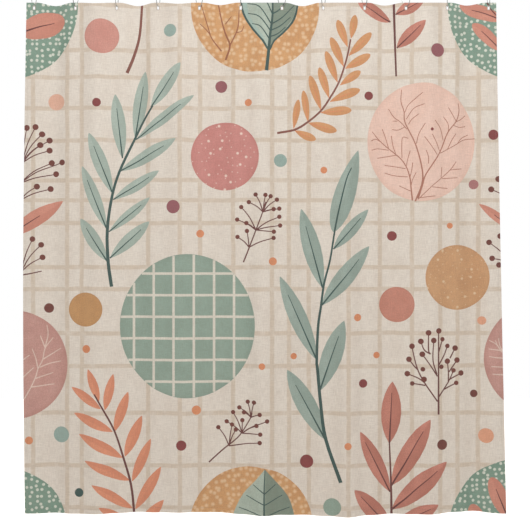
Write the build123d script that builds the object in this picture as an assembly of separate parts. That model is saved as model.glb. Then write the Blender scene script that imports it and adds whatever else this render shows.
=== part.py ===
from build123d import *
import math
import os

# A hook-hung shower curtain on its rod line.
# The origin is on the rod's axis, midway between the two end rings.
# +X runs along the rod, -Y faces the printed side of the cloth and +Z is up.

# The cloth, as it lies flat (millimetres)
curtain_width = 1803.0
curtain_drop = 1880.0
cloth_t = 0.8
end_margin = 28.0
header_above_hole = 12.5

# The folds: each span between two rings bends at both rings and at its middle (degrees)
ring_count = 12
rest_fold = 18.4
fold_limit = 80.0
fold_clearance = 0.3

# The rod that the rings slide on, which is not part of the object
rod_d = 25.0

# The wire rings
wire_d = 2.8
ring_top_side_gap = 9.5
ring_bottom_r = 14.0
ring_reach = 49.5
ring_tip_d = 5.0
ring_mouth = 1.5
yaw_limit = 48.0
ring_yaws = [38, -18, -8, -15, 42, 0, 46, -24, 24, 44, -10, 3]
ring_to_cloth = 1.2

# The stitched buttonholes
hole_side_gap = 0.5
hole_hang_gap = 0.3
hole_height = 13.0
hole_corner_r = 1.2
thread_t = 0.4
binding_reach = 2.2
binding_overlap = 0.8

# Ring shape: a wide arc over the rod, a narrow arc in the buttonhole, straight legs between
wire_r = wire_d / 2
rod_r = rod_d / 2
ring_top_r = rod_r + ring_top_side_gap
top_arc_r = ring_top_r + wire_r
bottom_arc_r = ring_bottom_r + wire_r
top_arc_z = rod_r - ring_top_r
bottom_arc_z = ring_bottom_r - ring_reach
leg_lean = math.asin((top_arc_r - bottom_arc_r) / (top_arc_z - bottom_arc_z))
mouth_angle = math.degrees((ring_tip_d + ring_mouth) / top_arc_r)

# Heights of the cloth, which hangs from the top of each buttonhole
hole_top_z = -ring_reach + hole_hang_gap
cloth_top_z = hole_top_z + header_above_hole
cloth_middle_z = cloth_top_z - curtain_drop / 2
hole_middle_z = hole_top_z - hole_height / 2

# A buttonhole is wide enough for the wire to turn to its limit in it
yaw_limit_rad = math.radians(yaw_limit)
binding_t = cloth_t + 2 * thread_t
wire_sweep = wire_d / math.cos(yaw_limit_rad) + binding_t * math.tan(yaw_limit_rad)
hole_width = wire_sweep + 2 * hole_side_gap

# Half the ring's width where it passes the cloth's top edge, and the flat strip that it needs there
leg_foot_z = bottom_arc_z - bottom_arc_r * math.sin(leg_lean)
leg_foot_y = bottom_arc_r * math.cos(leg_lean)
ring_half_at_edge = leg_foot_y + max(cloth_top_z - leg_foot_z, 0.0) * math.tan(leg_lean)
fold_limit_rad = math.radians(fold_limit)
leg_out_x = ring_half_at_edge * math.sin(yaw_limit_rad)
leg_out_y = ring_half_at_edge * math.cos(yaw_limit_rad)
leg_room = wire_r + cloth_t / 2 + ring_to_cloth - leg_out_y * math.cos(fold_limit_rad)
ring_section_half = leg_out_x + leg_room / math.sin(fold_limit_rad)

# The cloth between two ring sections folds in two equal halves
flat_pitch = (curtain_width - 2 * end_margin) / (ring_count - 1)
fold_half = flat_pitch / 2 - ring_section_half
rest_fold_rad = math.radians(rest_fold)
hung_pitch = 2 * ring_section_half + 2 * fold_half * math.cos(rest_fold_rad)


def crease_gap(fold_deg):
    """Room left beside a fold line, for a fold in which each side turns by fold_deg."""
    fold = math.radians(fold_deg)
    return (cloth_t / 2 * math.sin(fold) + fold_clearance / 2) / math.cos(fold)


ring_crease_gap = crease_gap(fold_limit / 2)
middle_crease_gap = crease_gap(fold_limit)


def ring_x(index):
    """Place of a ring along the rod."""
    return (index - (ring_count - 1) / 2) * hung_pitch


def fold_side(index):
    """Side that a span bulges to: 1 away from the printed face, -1 towards it."""
    return 1 if index % 2 == 0 else -1


def slot_prism(width, height, corner, depth):
    """An upright slot with rounded corners, cut along Y."""
    outline = Plane.XZ * RectangleRounded(width, height, corner)
    return extrude(outline, amount=depth / 2, both=True)


def cloth_slab(start, end):
    """Flat cloth between two places along X, in the plane of the rod."""
    slab = Box(end - start, cloth_t, curtain_drop)
    return Pos((start + end) / 2, 0, cloth_middle_z) * slab


def ring_section(index):
    """Narrow strip of cloth that hangs square from one ring, with its buttonhole."""
    inner = ring_section_half - ring_crease_gap
    start = -end_margin if index == 0 else -inner
    end = end_margin if index == ring_count - 1 else inner
    seat = slot_prism(
        hole_width + 2 * binding_overlap,
        hole_height + 2 * binding_overlap,
        hole_corner_r + binding_overlap,
        2 * binding_t,
    )
    strip = cloth_slab(start, end) - Pos(0, 0, hole_middle_z) * seat
    return Pos(ring_x(index), 0, 0) * strip


def fold_left(index):
    """Half span from a ring section out to the middle of the fold."""
    slab = cloth_slab(ring_crease_gap, fold_half - middle_crease_gap)
    hinge_x = ring_x(index) + ring_section_half
    return Pos(hinge_x, 0, 0) * Rot(0, 0, fold_side(index) * rest_fold) * slab


def fold_right(index):
    """Half span from the middle of the fold back to the next ring section."""
    slab = cloth_slab(middle_crease_gap - fold_half, -ring_crease_gap)
    hinge_x = ring_x(index + 1) - ring_section_half
    return Pos(hinge_x, 0, 0) * Rot(0, 0, -fold_side(index) * rest_fold) * slab


def buttonhole(index):
    """Thread binding sewn over the edge of one buttonhole, on both faces of the cloth."""
    rim = slot_prism(
        hole_width + 2 * binding_reach,
        hole_height + 2 * binding_reach,
        hole_corner_r + binding_reach,
        binding_t,
    )
    opening = slot_prism(hole_width, hole_height, hole_corner_r, 2 * binding_t)
    held_cloth = slot_prism(
        hole_width + 4 * binding_reach,
        hole_height + 4 * binding_reach,
        hole_corner_r + 2 * binding_reach,
        cloth_t,
    )
    cloth_edge = slot_prism(
        hole_width + 2 * binding_overlap,
        hole_height + 2 * binding_overlap,
        hole_corner_r + binding_overlap,
        2 * binding_t,
    )
    binding = rim - opening - (held_cloth - cloth_edge)
    return Pos(ring_x(index), 0, hole_middle_z) * binding


def ring_wire_path():
    """Centreline of a ring in the YZ plane, from its upper tip over the rod to its lower tip."""
    lean = math.degrees(leg_lean)
    foot = (leg_foot_y, leg_foot_z)
    top_y = top_arc_r * math.cos(leg_lean)
    top_z = top_arc_z - top_arc_r * math.sin(leg_lean)
    back_turn = lean - mouth_angle / 2
    over_rod = CenterArc((0, top_arc_z), top_arc_r, mouth_angle / 2, 180 + lean - mouth_angle / 2)
    front_leg = Line((-top_y, top_z), (-foot[0], foot[1]))
    under_hole = CenterArc((0, bottom_arc_z), bottom_arc_r, 180 + lean, 180 - 2 * lean)
    back_leg = Line(foot, (top_y, top_z))
    up_to_tip = CenterArc((0, top_arc_z), top_arc_r, -lean, back_turn)
    return Plane.YZ * Wire([over_rod, front_leg, under_hole, back_leg, up_to_tip])


def ring(index):
    """One open wire ring with two rounded tips behind the rod, turned as it hangs."""
    path = ring_wire_path()
    section = Plane(origin=path @ 0, z_dir=path % 0) * Circle(wire_r)
    wire = sweep(section, path=path)
    tips = [Pos(*(path @ end)) * Sphere(ring_tip_d / 2) for end in (0, 1)]
    return Pos(ring_x(index), 0, 0) * Rot(0, 0, ring_yaws[index]) * (wire + tips)


def write(shape, name):
    """One STEP file for one sub-part."""
    shape.label = name
    export_step(shape, f"parts/{name}.step")


os.makedirs("parts", exist_ok=True)

for number in range(1, ring_count + 1):
    write(ring_section(number - 1), f"cloth_at_ring_{number:02d}")
    write(buttonhole(number - 1), f"buttonhole_{number:02d}")
    write(ring(number - 1), f"ring_{number:02d}")

for number in range(1, ring_count):
    write(fold_left(number - 1), f"cloth_fold_{number:02d}_left")
    write(fold_right(number - 1), f"cloth_fold_{number:02d}_right")
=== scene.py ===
"""How a printed shower curtain on twelve wire rings looks.

Lengths are in metres unless a name ends in _cm or _mm. X runs along the rod, the printed side
faces -Y and Z points up, as in the frame. The print is laid out in centimetres: across from the
middle of the hung curtain, and down from its top edge.
"""

import logging
import math
from collections.abc import Sequence
from dataclasses import dataclass, field
from enum import Enum

import bpy
import numpy as np
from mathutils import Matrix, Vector
from mathutils.geometry import delaunay_2d_cdt


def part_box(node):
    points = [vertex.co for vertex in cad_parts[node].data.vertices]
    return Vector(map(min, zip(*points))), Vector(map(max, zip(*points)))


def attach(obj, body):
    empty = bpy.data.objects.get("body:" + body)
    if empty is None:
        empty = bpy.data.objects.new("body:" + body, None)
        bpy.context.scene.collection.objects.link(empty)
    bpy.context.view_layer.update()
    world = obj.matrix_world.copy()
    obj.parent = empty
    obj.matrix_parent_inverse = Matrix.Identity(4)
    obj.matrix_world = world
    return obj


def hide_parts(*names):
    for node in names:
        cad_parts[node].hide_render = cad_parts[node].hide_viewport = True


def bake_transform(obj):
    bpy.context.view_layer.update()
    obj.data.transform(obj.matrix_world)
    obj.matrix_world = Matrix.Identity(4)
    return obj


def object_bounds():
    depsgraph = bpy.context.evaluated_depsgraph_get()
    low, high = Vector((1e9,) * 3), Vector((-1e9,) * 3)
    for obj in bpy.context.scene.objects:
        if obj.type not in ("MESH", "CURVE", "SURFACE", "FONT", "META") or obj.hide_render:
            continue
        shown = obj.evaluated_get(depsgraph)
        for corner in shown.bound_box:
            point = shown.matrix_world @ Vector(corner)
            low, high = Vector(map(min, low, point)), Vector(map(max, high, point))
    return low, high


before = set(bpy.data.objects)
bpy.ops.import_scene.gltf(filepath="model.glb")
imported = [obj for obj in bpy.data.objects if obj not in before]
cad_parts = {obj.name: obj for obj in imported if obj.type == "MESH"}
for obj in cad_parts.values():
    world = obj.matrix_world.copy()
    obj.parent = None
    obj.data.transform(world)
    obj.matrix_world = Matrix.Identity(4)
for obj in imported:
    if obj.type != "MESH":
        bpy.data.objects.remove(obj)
CAD_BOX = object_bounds()

log = logging.getLogger("shower_curtain")

CM = 0.01
MM = 0.001
RING_COUNT = 12
RINGS = range(1, RING_COUNT + 1)
FLAT_WIDTH = 1.803

Point = tuple[float, float]
Colour = tuple[float, float, float]


# ---------------------------------------------------------------- finishes


def linear(red: float, green: float, blue: float) -> tuple[float, float, float, float]:
    """Turn a colour as paint charts give it, 0 to 255, into the light that it sends back.

    Args:
        red: Red, 0 to 255.
        green: Green, 0 to 255.
        blue: Blue, 0 to 255.

    Returns:
        The linear colour with full opacity.
    """

    def channel(value: float) -> float:
        """Turn one 0 to 255 channel into linear light."""
        share = value / 255
        return share / 12.92 if share <= 0.04045 else ((share + 0.055) / 1.055) ** 2.4

    return (channel(red), channel(green), channel(blue), 1.0)


@dataclass(frozen=True)
class Signal:
    """A number or colour that varies over a surface, so that shader maths reads as Python."""

    bench: "Bench"
    socket: bpy.types.NodeSocket

    def __add__(self, other: "Signal | float") -> "Signal":
        """Add."""
        return self.bench.maths("ADD", self, other)

    def __radd__(self, other: float) -> "Signal":
        """Add, with the number first."""
        return self.bench.maths("ADD", other, self)

    def __sub__(self, other: "Signal | float") -> "Signal":
        """Subtract."""
        return self.bench.maths("SUBTRACT", self, other)

    def __rsub__(self, other: float) -> "Signal":
        """Subtract from a number."""
        return self.bench.maths("SUBTRACT", other, self)

    def __mul__(self, other: "Signal | float") -> "Signal":
        """Multiply."""
        return self.bench.maths("MULTIPLY", self, other)

    def __rmul__(self, other: float) -> "Signal":
        """Multiply, with the number first."""
        return self.bench.maths("MULTIPLY", other, self)

    def __abs__(self) -> "Signal":
        """Drop the sign."""
        return self.bench.maths("ABSOLUTE", self)

    def sine(self) -> "Signal":
        """Take the sine, in radians."""
        return self.bench.maths("SINE", self)

    def higher(self, other: "Signal | float") -> "Signal":
        """Take whichever is higher."""
        return self.bench.maths("MAXIMUM", self, other)

    def rise(self, low: float, high: float) -> "Signal":
        """Rise smoothly from 0 at low to 1 at high.

        Args:
            low: Where the rise starts.
            high: Where the rise ends.

        Returns:
            The eased value.
        """
        settings = {"interpolation_type": "SMOOTHSTEP"}
        return self.bench.node("ShaderNodeMapRange", settings, {0: self, 1: low, 2: high}, 0)


class Bench:
    """A material, or a world, being mixed: it adds nodes and links them."""

    def __init__(self, owner: bpy.types.Material | bpy.types.World) -> None:
        """Start with no nodes.

        Args:
            owner: The material or world.
        """
        self.owner = owner
        owner.use_nodes = True
        self.tree = owner.node_tree
        self.tree.nodes.clear()

    def node(
        self,
        kind: str,
        settings: dict[str, object],
        inputs: dict[int | str, object],
        output: int | str = 0,
    ) -> Signal:
        """Add one node.

        Args:
            kind: The node's type.
            settings: Its own settings, which are set first.
            inputs: A value or a Signal for each named or numbered socket.
            output: Which output to hand back.

        Returns:
            The chosen output, or the first input of a node that ends the chain.
        """
        made = self.tree.nodes.new(kind)
        for name, value in settings.items():
            setattr(made, name, value)
        for name, value in inputs.items():
            if isinstance(value, Signal):
                self.tree.links.new(value.socket, made.inputs[name])
            else:
                made.inputs[name].default_value = value
        return Signal(self, made.outputs[output] if made.outputs else made.inputs[0])

    def maths(self, operation: str, *values: "Signal | float") -> Signal:
        """Add a Math node for numbers.

        Args:
            operation: The Math node's operation.
            values: Its inputs, in order.

        Returns:
            The result.
        """
        return self.node("ShaderNodeMath", {"operation": operation}, dict(enumerate(values)))

    def mix(self, start: object, end: object, share: "Signal | float") -> Signal:
        """Blend two colours.

        Args:
            start: The colour where share is 0.
            end: The colour where share is 1.
            share: How much of the second colour shows.

        Returns:
            The blended colour.
        """
        inputs = {0: share, 6: start, 7: end}
        return self.node("ShaderNodeMix", {"data_type": "RGBA", "clamp_factor": True}, inputs, 2)

    def map(self, name: str) -> Signal:
        """Read one of the piece's UV maps."""
        return self.node("ShaderNodeUVMap", {"uv_map": name}, {})

    def apart(self, vector: Signal) -> tuple[Signal, Signal]:
        """Split a UV vector into its two numbers."""
        across = self.node("ShaderNodeSeparateXYZ", {}, {0: vector}, 0)
        return across, Signal(self, across.socket.node.outputs[1])

    def stretched(self, vector: Signal, across: float, along: float) -> Signal:
        """Scale a UV vector by two amounts."""
        settings = {"operation": "MULTIPLY"}
        return self.node("ShaderNodeVectorMath", settings, {0: vector, 1: (across, along, 0.0)})

    def noise(self, vector: Signal, across: float, along: float, detail: float = 2.0) -> Signal:
        """Make soft noise with its own grain size each way.

        Args:
            vector: The UV vector, in metres.
            across: Grains to the metre across.
            along: Grains to the metre along.
            detail: How many finer layers it has.

        Returns:
            The noise, about 0.3 to 0.7.
        """
        where = self.stretched(vector, across, along)
        inputs = {"Vector": where, "Scale": 1.0, "Detail": detail}
        return self.node("ShaderNodeTexNoise", {"noise_dimensions": "2D"}, inputs, 0)

    def cells(self, vector: Signal, scale: float, randomness: float) -> Signal:
        """Measure the distance to the nearest of many scattered points.

        Args:
            vector: The UV vector, in metres.
            scale: Points to the metre.
            randomness: 0 for a regular grid, 1 for a random scatter.

        Returns:
            The distance, in cells.
        """
        inputs = {"Vector": vector, "Scale": scale, "Randomness": randomness}
        return self.node("ShaderNodeTexVoronoi", {"voronoi_dimensions": "2D"}, inputs, "Distance")

    def surface(
        self, colour: Signal, rough: "Signal | float", height: Signal, relief: float, **fixed: object
    ) -> bpy.types.Material:
        """Finish the material.

        Args:
            colour: The base colour.
            rough: The roughness.
            height: The height that the bump follows, 0 to 1.
            relief: The height of the bump, in metres.
            fixed: Other constant sockets of the shader, with _ for a space.

        Returns:
            The finished material.
        """
        bumped = {"Strength": 1.0, "Distance": relief, "Height": height}
        normal = self.node("ShaderNodeBump", {}, bumped)
        inputs = {"Base Color": colour, "Roughness": rough, "Normal": normal}
        inputs.update({name.replace("_", " "): value for name, value in fixed.items()})
        shader = self.node("ShaderNodeBsdfPrincipled", {}, inputs)
        self.node("ShaderNodeOutputMaterial", {}, {"Surface": shader})
        return self.owner


class Wash(Enum):
    """What fills a printed shape."""

    GROUND = "linen ground with a woven check"
    PLAIN = "soft even grain"
    LEAF = "one half darker, with streaks along the leaf"
    DOTS = "scattered pale dots"
    SPECKS = "scattered pale specks"
    MOTTLE = "soft pale blotches"


@dataclass(frozen=True)
class PrintInk:
    """One colour of the print on polyester cloth, with the cloth's own weave under it."""

    name: str
    base: Colour
    shade: Colour
    wash: Wash = Wash.PLAIN
    mark: Colour = (231, 224, 210)

    ROUGH = 0.86
    SHEEN = 0.12
    THREADS_PER_M = 640.0
    RELIEF = 0.00016
    BACK = (238, 232, 222)
    BACK_PALENESS = 0.62
    # A dark brown painted as shade in the gaps between threads, and how much of it shows.
    SHADE_BETWEEN_THREADS = (122, 104, 90)
    THREAD_GAP_SHADE = 0.17
    CHECK_ACROSS_CM = (
        -84.0, -71.5, -66.0, -41.7, -29.9, -22.6, -10.4, 3.9,
        10.2, 17.5, 31.9, 43.7, 55.4, 65.7, 72.2, 80.1,
    )
    CHECK_DOWN_CM = (
        0.9, 17.5, 27.4, 38.8, 50.6, 65.3, 72.7, 81.1, 97.3, 105.4, 121.6, 133.7, 151.0, 170.2, 185.6,
    )
    CHECK_HALF_CM = 0.78
    CHECK_BLUR_CM = 0.22

    def material(self) -> bpy.types.Material:
        """Mix this ink.

        Returns:
            The finished material.
        """
        bench = Bench(bpy.data.materials.new(f"print_{self.name}"))
        cloth = bench.map("cloth")
        across, down = bench.apart(cloth)
        behind, _ = bench.apart(bench.map("side"))
        slub = 0.5 * bench.noise(cloth, 420, 36, 3) + 0.5 * bench.noise(cloth, 36, 420, 3)
        grain = bench.noise(cloth, 240, 240, 3)
        cloud = bench.noise(cloth, 16, 13, 3)
        share = (0.55 * grain + 0.45 * cloud).rise(0.40, 0.62)
        colour = bench.mix(linear(*self.base), linear(*self.shade), share * 0.55)
        colour = self.filled(bench, colour, cloth, across, down)
        # Where the slub runs thin the colour is darkened towards that brown: painted shade in the gaps
        # between threads.
        thread = slub.rise(0.36, 0.66)
        gap_shaded = bench.mix(colour, linear(*self.SHADE_BETWEEN_THREADS), self.THREAD_GAP_SHADE)
        colour = bench.mix(gap_shaded, colour, thread)
        colour = bench.mix(colour, linear(*self.BACK), behind * self.BACK_PALENESS)
        rough = self.ROUGH - 0.08 * grain
        height = 0.6 * self.weave(across, down) + 0.4 * slub
        return bench.surface(
            colour, rough, height, self.RELIEF, Sheen_Weight=self.SHEEN, Sheen_Roughness=0.5
        )

    def weave(self, across: Signal, down: Signal) -> Signal:
        """Raise alternate threads, as a plain weave does.

        Args:
            across: Metres across the flat cloth.
            down: Metres down the flat cloth.

        Returns:
            The height of the weave, 0 to 1.
        """
        turn = 2 * math.pi * self.THREADS_PER_M
        return (across * turn).sine() * (down * turn).sine() * 0.5 + 0.5

    def filled(self, bench: Bench, colour: Signal, cloth: Signal, across: Signal, down: Signal) -> Signal:
        """Add what the wash puts inside the shape.

        Args:
            bench: The material being mixed.
            colour: The ink's even colour.
            cloth: The flat cloth's UV vector.
            across: Metres across the flat cloth.
            down: Metres down the flat cloth.

        Returns:
            The colour with its marks.
        """
        along, side = bench.apart(bench.map("motif"))
        mark = linear(*self.mark)
        if self.wash is Wash.GROUND:
            wobble = (bench.noise(cloth, 7, 7) - 0.5) * 0.006
            lines = self.check(across + wobble, self.CHECK_ACROSS_CM)
            lines = lines.higher(self.check(down + wobble, self.CHECK_DOWN_CM))
            worn = bench.noise(cloth, 30, 30, 3).rise(0.22, 0.55)
            return bench.mix(colour, mark, lines * (0.42 + 0.34 * worn))
        if self.wash is Wash.LEAF:
            streaks = bench.noise(bench.map("motif"), 2.2, 9.0)
            half = side.rise(-0.12, 0.12)
            edge = abs(side).rise(0.55, 1.0)
            return bench.mix(colour, linear(*self.shade), (half * 0.55 + edge * 0.25 + streaks * 0.3) * 0.8)
        rim = (along * along + side * side).rise(0.80, 1.02)
        colour = bench.mix(colour, linear(*self.shade), rim * 0.45)
        if self.wash is Wash.DOTS:
            spots = 1 - bench.cells(cloth, 48, 0.62).rise(0.21, 0.30)
            return bench.mix(colour, mark, spots * 0.9)
        if self.wash is Wash.SPECKS:
            large = 1 - bench.cells(cloth, 17, 0.9).rise(0.05, 0.11)
            small = 1 - bench.cells(cloth, 33, 1.0).rise(0.05, 0.11)
            return bench.mix(colour, mark, (large * 0.95).higher(small * 0.6))
        if self.wash is Wash.MOTTLE:
            blotches = 1 - bench.cells(cloth, 44, 0.85).rise(0.10, 0.46)
            return bench.mix(colour, mark, blotches * 0.72)
        return colour

    def check(self, place: Signal, lines_cm: Sequence[float]) -> Signal:
        """Args:
            place: Metres along the direction that the lines cross.
            lines_cm: Where each line is, in print centimetres.

        Returns:
            1 on a line and 0 between lines.
        """
        total = None
        for line in lines_cm:
            away = abs(place - line * CM)
            inner, outer = self.CHECK_HALF_CM - self.CHECK_BLUR_CM, self.CHECK_HALF_CM + self.CHECK_BLUR_CM
            band = 1 - away.rise(inner * CM, outer * CM)
            total = band if total is None else total.higher(band)
        return total


INKS = {
    ink.name: ink
    for ink in (
        PrintInk("ground", (232, 223, 211), (222, 210, 197), Wash.GROUND, (211, 194, 174)),
        PrintInk("sage_leaf", (182, 196, 185), (158, 174, 163), Wash.LEAF),
        PrintInk("deep_sage_leaf", (168, 184, 174), (142, 160, 150), Wash.LEAF),
        PrintInk("ochre_leaf", (218, 162, 115), (204, 145, 99), Wash.LEAF),
        PrintInk("salmon_leaf", (217, 152, 133), (200, 133, 115), Wash.LEAF),
        PrintInk("terracotta_leaf", (230, 156, 124), (212, 136, 106), Wash.LEAF),
        PrintInk("rose_leaf", (211, 143, 126), (176, 112, 97), Wash.LEAF),
        PrintInk("dark_green", (64, 92, 88), (54, 80, 78)),
        PrintInk("plum_brown", (112, 68, 66), (94, 55, 54)),
        PrintInk("twig_brown", (140, 90, 80), (122, 76, 66)),
        PrintInk("berry", (122, 70, 62), (98, 52, 48)),
        PrintInk("bark", (164, 108, 80), (146, 92, 66)),
        PrintInk("faint_brown", (178, 124, 106), (164, 108, 92)),
        PrintInk("chalk", (226, 220, 206), (214, 208, 194)),
        PrintInk("pale_twig", (230, 205, 192), (214, 184, 170)),
        PrintInk("green_dotted", (136, 162, 146), (116, 147, 130), Wash.DOTS, (222, 226, 212)),
        PrintInk("orange_mottled", (216, 166, 116), (196, 144, 98), Wash.MOTTLE, (236, 204, 166)),
        PrintInk("pale_sage", (184, 197, 183), (158, 173, 159), Wash.LEAF),
        PrintInk("shaded_sage", (146, 160, 145), (122, 137, 123), Wash.LEAF),
        PrintInk("pale_teal", (170, 192, 182), (156, 178, 168), Wash.LEAF),
        PrintInk("pink_specked", (208, 143, 136), (192, 124, 117), Wash.SPECKS, (240, 214, 200)),
        PrintInk("ochre_specked", (210, 164, 122), (190, 142, 102), Wash.SPECKS, (226, 196, 160)),
        PrintInk("rose", (214, 155, 142), (198, 136, 124)),
        PrintInk("brick_rose", (204, 142, 124), (186, 122, 104)),
        PrintInk("blush", (240, 207, 192), (228, 190, 172)),
        PrintInk("sage", (152, 172, 158), (138, 157, 143)),
        PrintInk("ochre", (202, 155, 106), (184, 136, 90)),
        PrintInk("dusty_pink", (206, 160, 150), (184, 134, 124)),
        PrintInk("plum", (156, 98, 104), (136, 80, 86)),
        PrintInk("wine", (142, 72, 72), (122, 60, 60)),
        PrintInk("faded_plum", (178, 126, 124), (160, 106, 106)),
        PrintInk("orange", (222, 148, 108), (208, 130, 90)),
        PrintInk("peach", (230, 184, 162), (220, 170, 146)),
        PrintInk("teal", (156, 178, 169), (140, 162, 154)),
        PrintInk("apricot", (230, 170, 140), (218, 154, 122)),
    )
}


@dataclass(frozen=True)
class SewingThread:
    """Twisted polyester thread, with painted shade in the grooves between its plies."""

    name: str = "sewing_thread"
    colour: Colour = (226, 219, 207)
    shade: Colour = (198, 188, 174)
    TWISTS = 3.0

    def material(self) -> bpy.types.Material:
        """Mix the thread's finish.

        Returns:
            The finished material.
        """
        bench = Bench(bpy.data.materials.new(self.name))
        along, around = bench.apart(bench.map("motif"))
        ply = ((along * self.TWISTS + around) * (2 * math.pi)).sine() * 0.5 + 0.5
        fuzz = bench.noise(bench.map("motif"), 9, 9, 3)
        # The darker colour is painted shade where the ply dips into the grooves; the fuzz is the thread's
        # own tone.
        colour = bench.mix(linear(*self.shade), linear(*self.colour), 0.35 * fuzz + 0.65 * ply)
        return bench.surface(colour, 0.75 - 0.12 * ply, ply, 0.00008, Sheen_Weight=0.1)


@dataclass(frozen=True)
class PlatedWire:
    """Bright zinc-plated steel wire, slightly dulled where it is handled."""

    name: str = "plated_wire"
    bright: Colour = (206, 206, 204)
    dull: Colour = (156, 156, 154)

    def material(self) -> bpy.types.Material:
        """Mix the wire's finish.

        Returns:
            The finished material.
        """
        bench = Bench(bpy.data.materials.new(self.name))
        place = bench.node("ShaderNodeTexCoord", {}, {}, "Object")
        inputs = {"Vector": place, "Scale": 260.0, "Detail": 3.0}
        grain = bench.node("ShaderNodeTexNoise", {}, inputs, 0)
        drawn = bench.node("ShaderNodeTexNoise", {}, {"Vector": place, "Scale": 45.0, "Detail": 2.0}, 0)
        worn = drawn.rise(0.42, 0.62)
        colour = bench.mix(linear(*self.bright), linear(*self.dull), worn)
        return bench.surface(colour, 0.2 + 0.22 * worn + 0.08 * grain, grain, 0.00004, Metallic=1.0)


# ---------------------------------------------------------------- how the cloth hangs


def eased(place: np.ndarray, stops: Sequence[float], values: Sequence[float]) -> np.ndarray:
    """Go smoothly through a few values.

    Args:
        place: Where to read.
        stops: Where the values are, rising.
        values: The values.

    Returns:
        One value for each place.
    """
    index = np.clip(np.searchsorted(stops, place) - 1, 0, len(stops) - 2)
    low = np.asarray(stops)[index]
    high = np.asarray(stops)[index + 1]
    share = np.clip((place - low) / (high - low), 0, 1)
    share = share * share * (3 - 2 * share)
    start = np.asarray(values)[index]
    return start + (np.asarray(values)[index + 1] - start) * share


def smooth(value: np.ndarray, low: float, high: float) -> np.ndarray:
    """Rise smoothly from 0 at low to 1 at high."""
    share = np.clip((value - low) / (high - low), 0, 1)
    return share * share * (3 - 2 * share)


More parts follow.
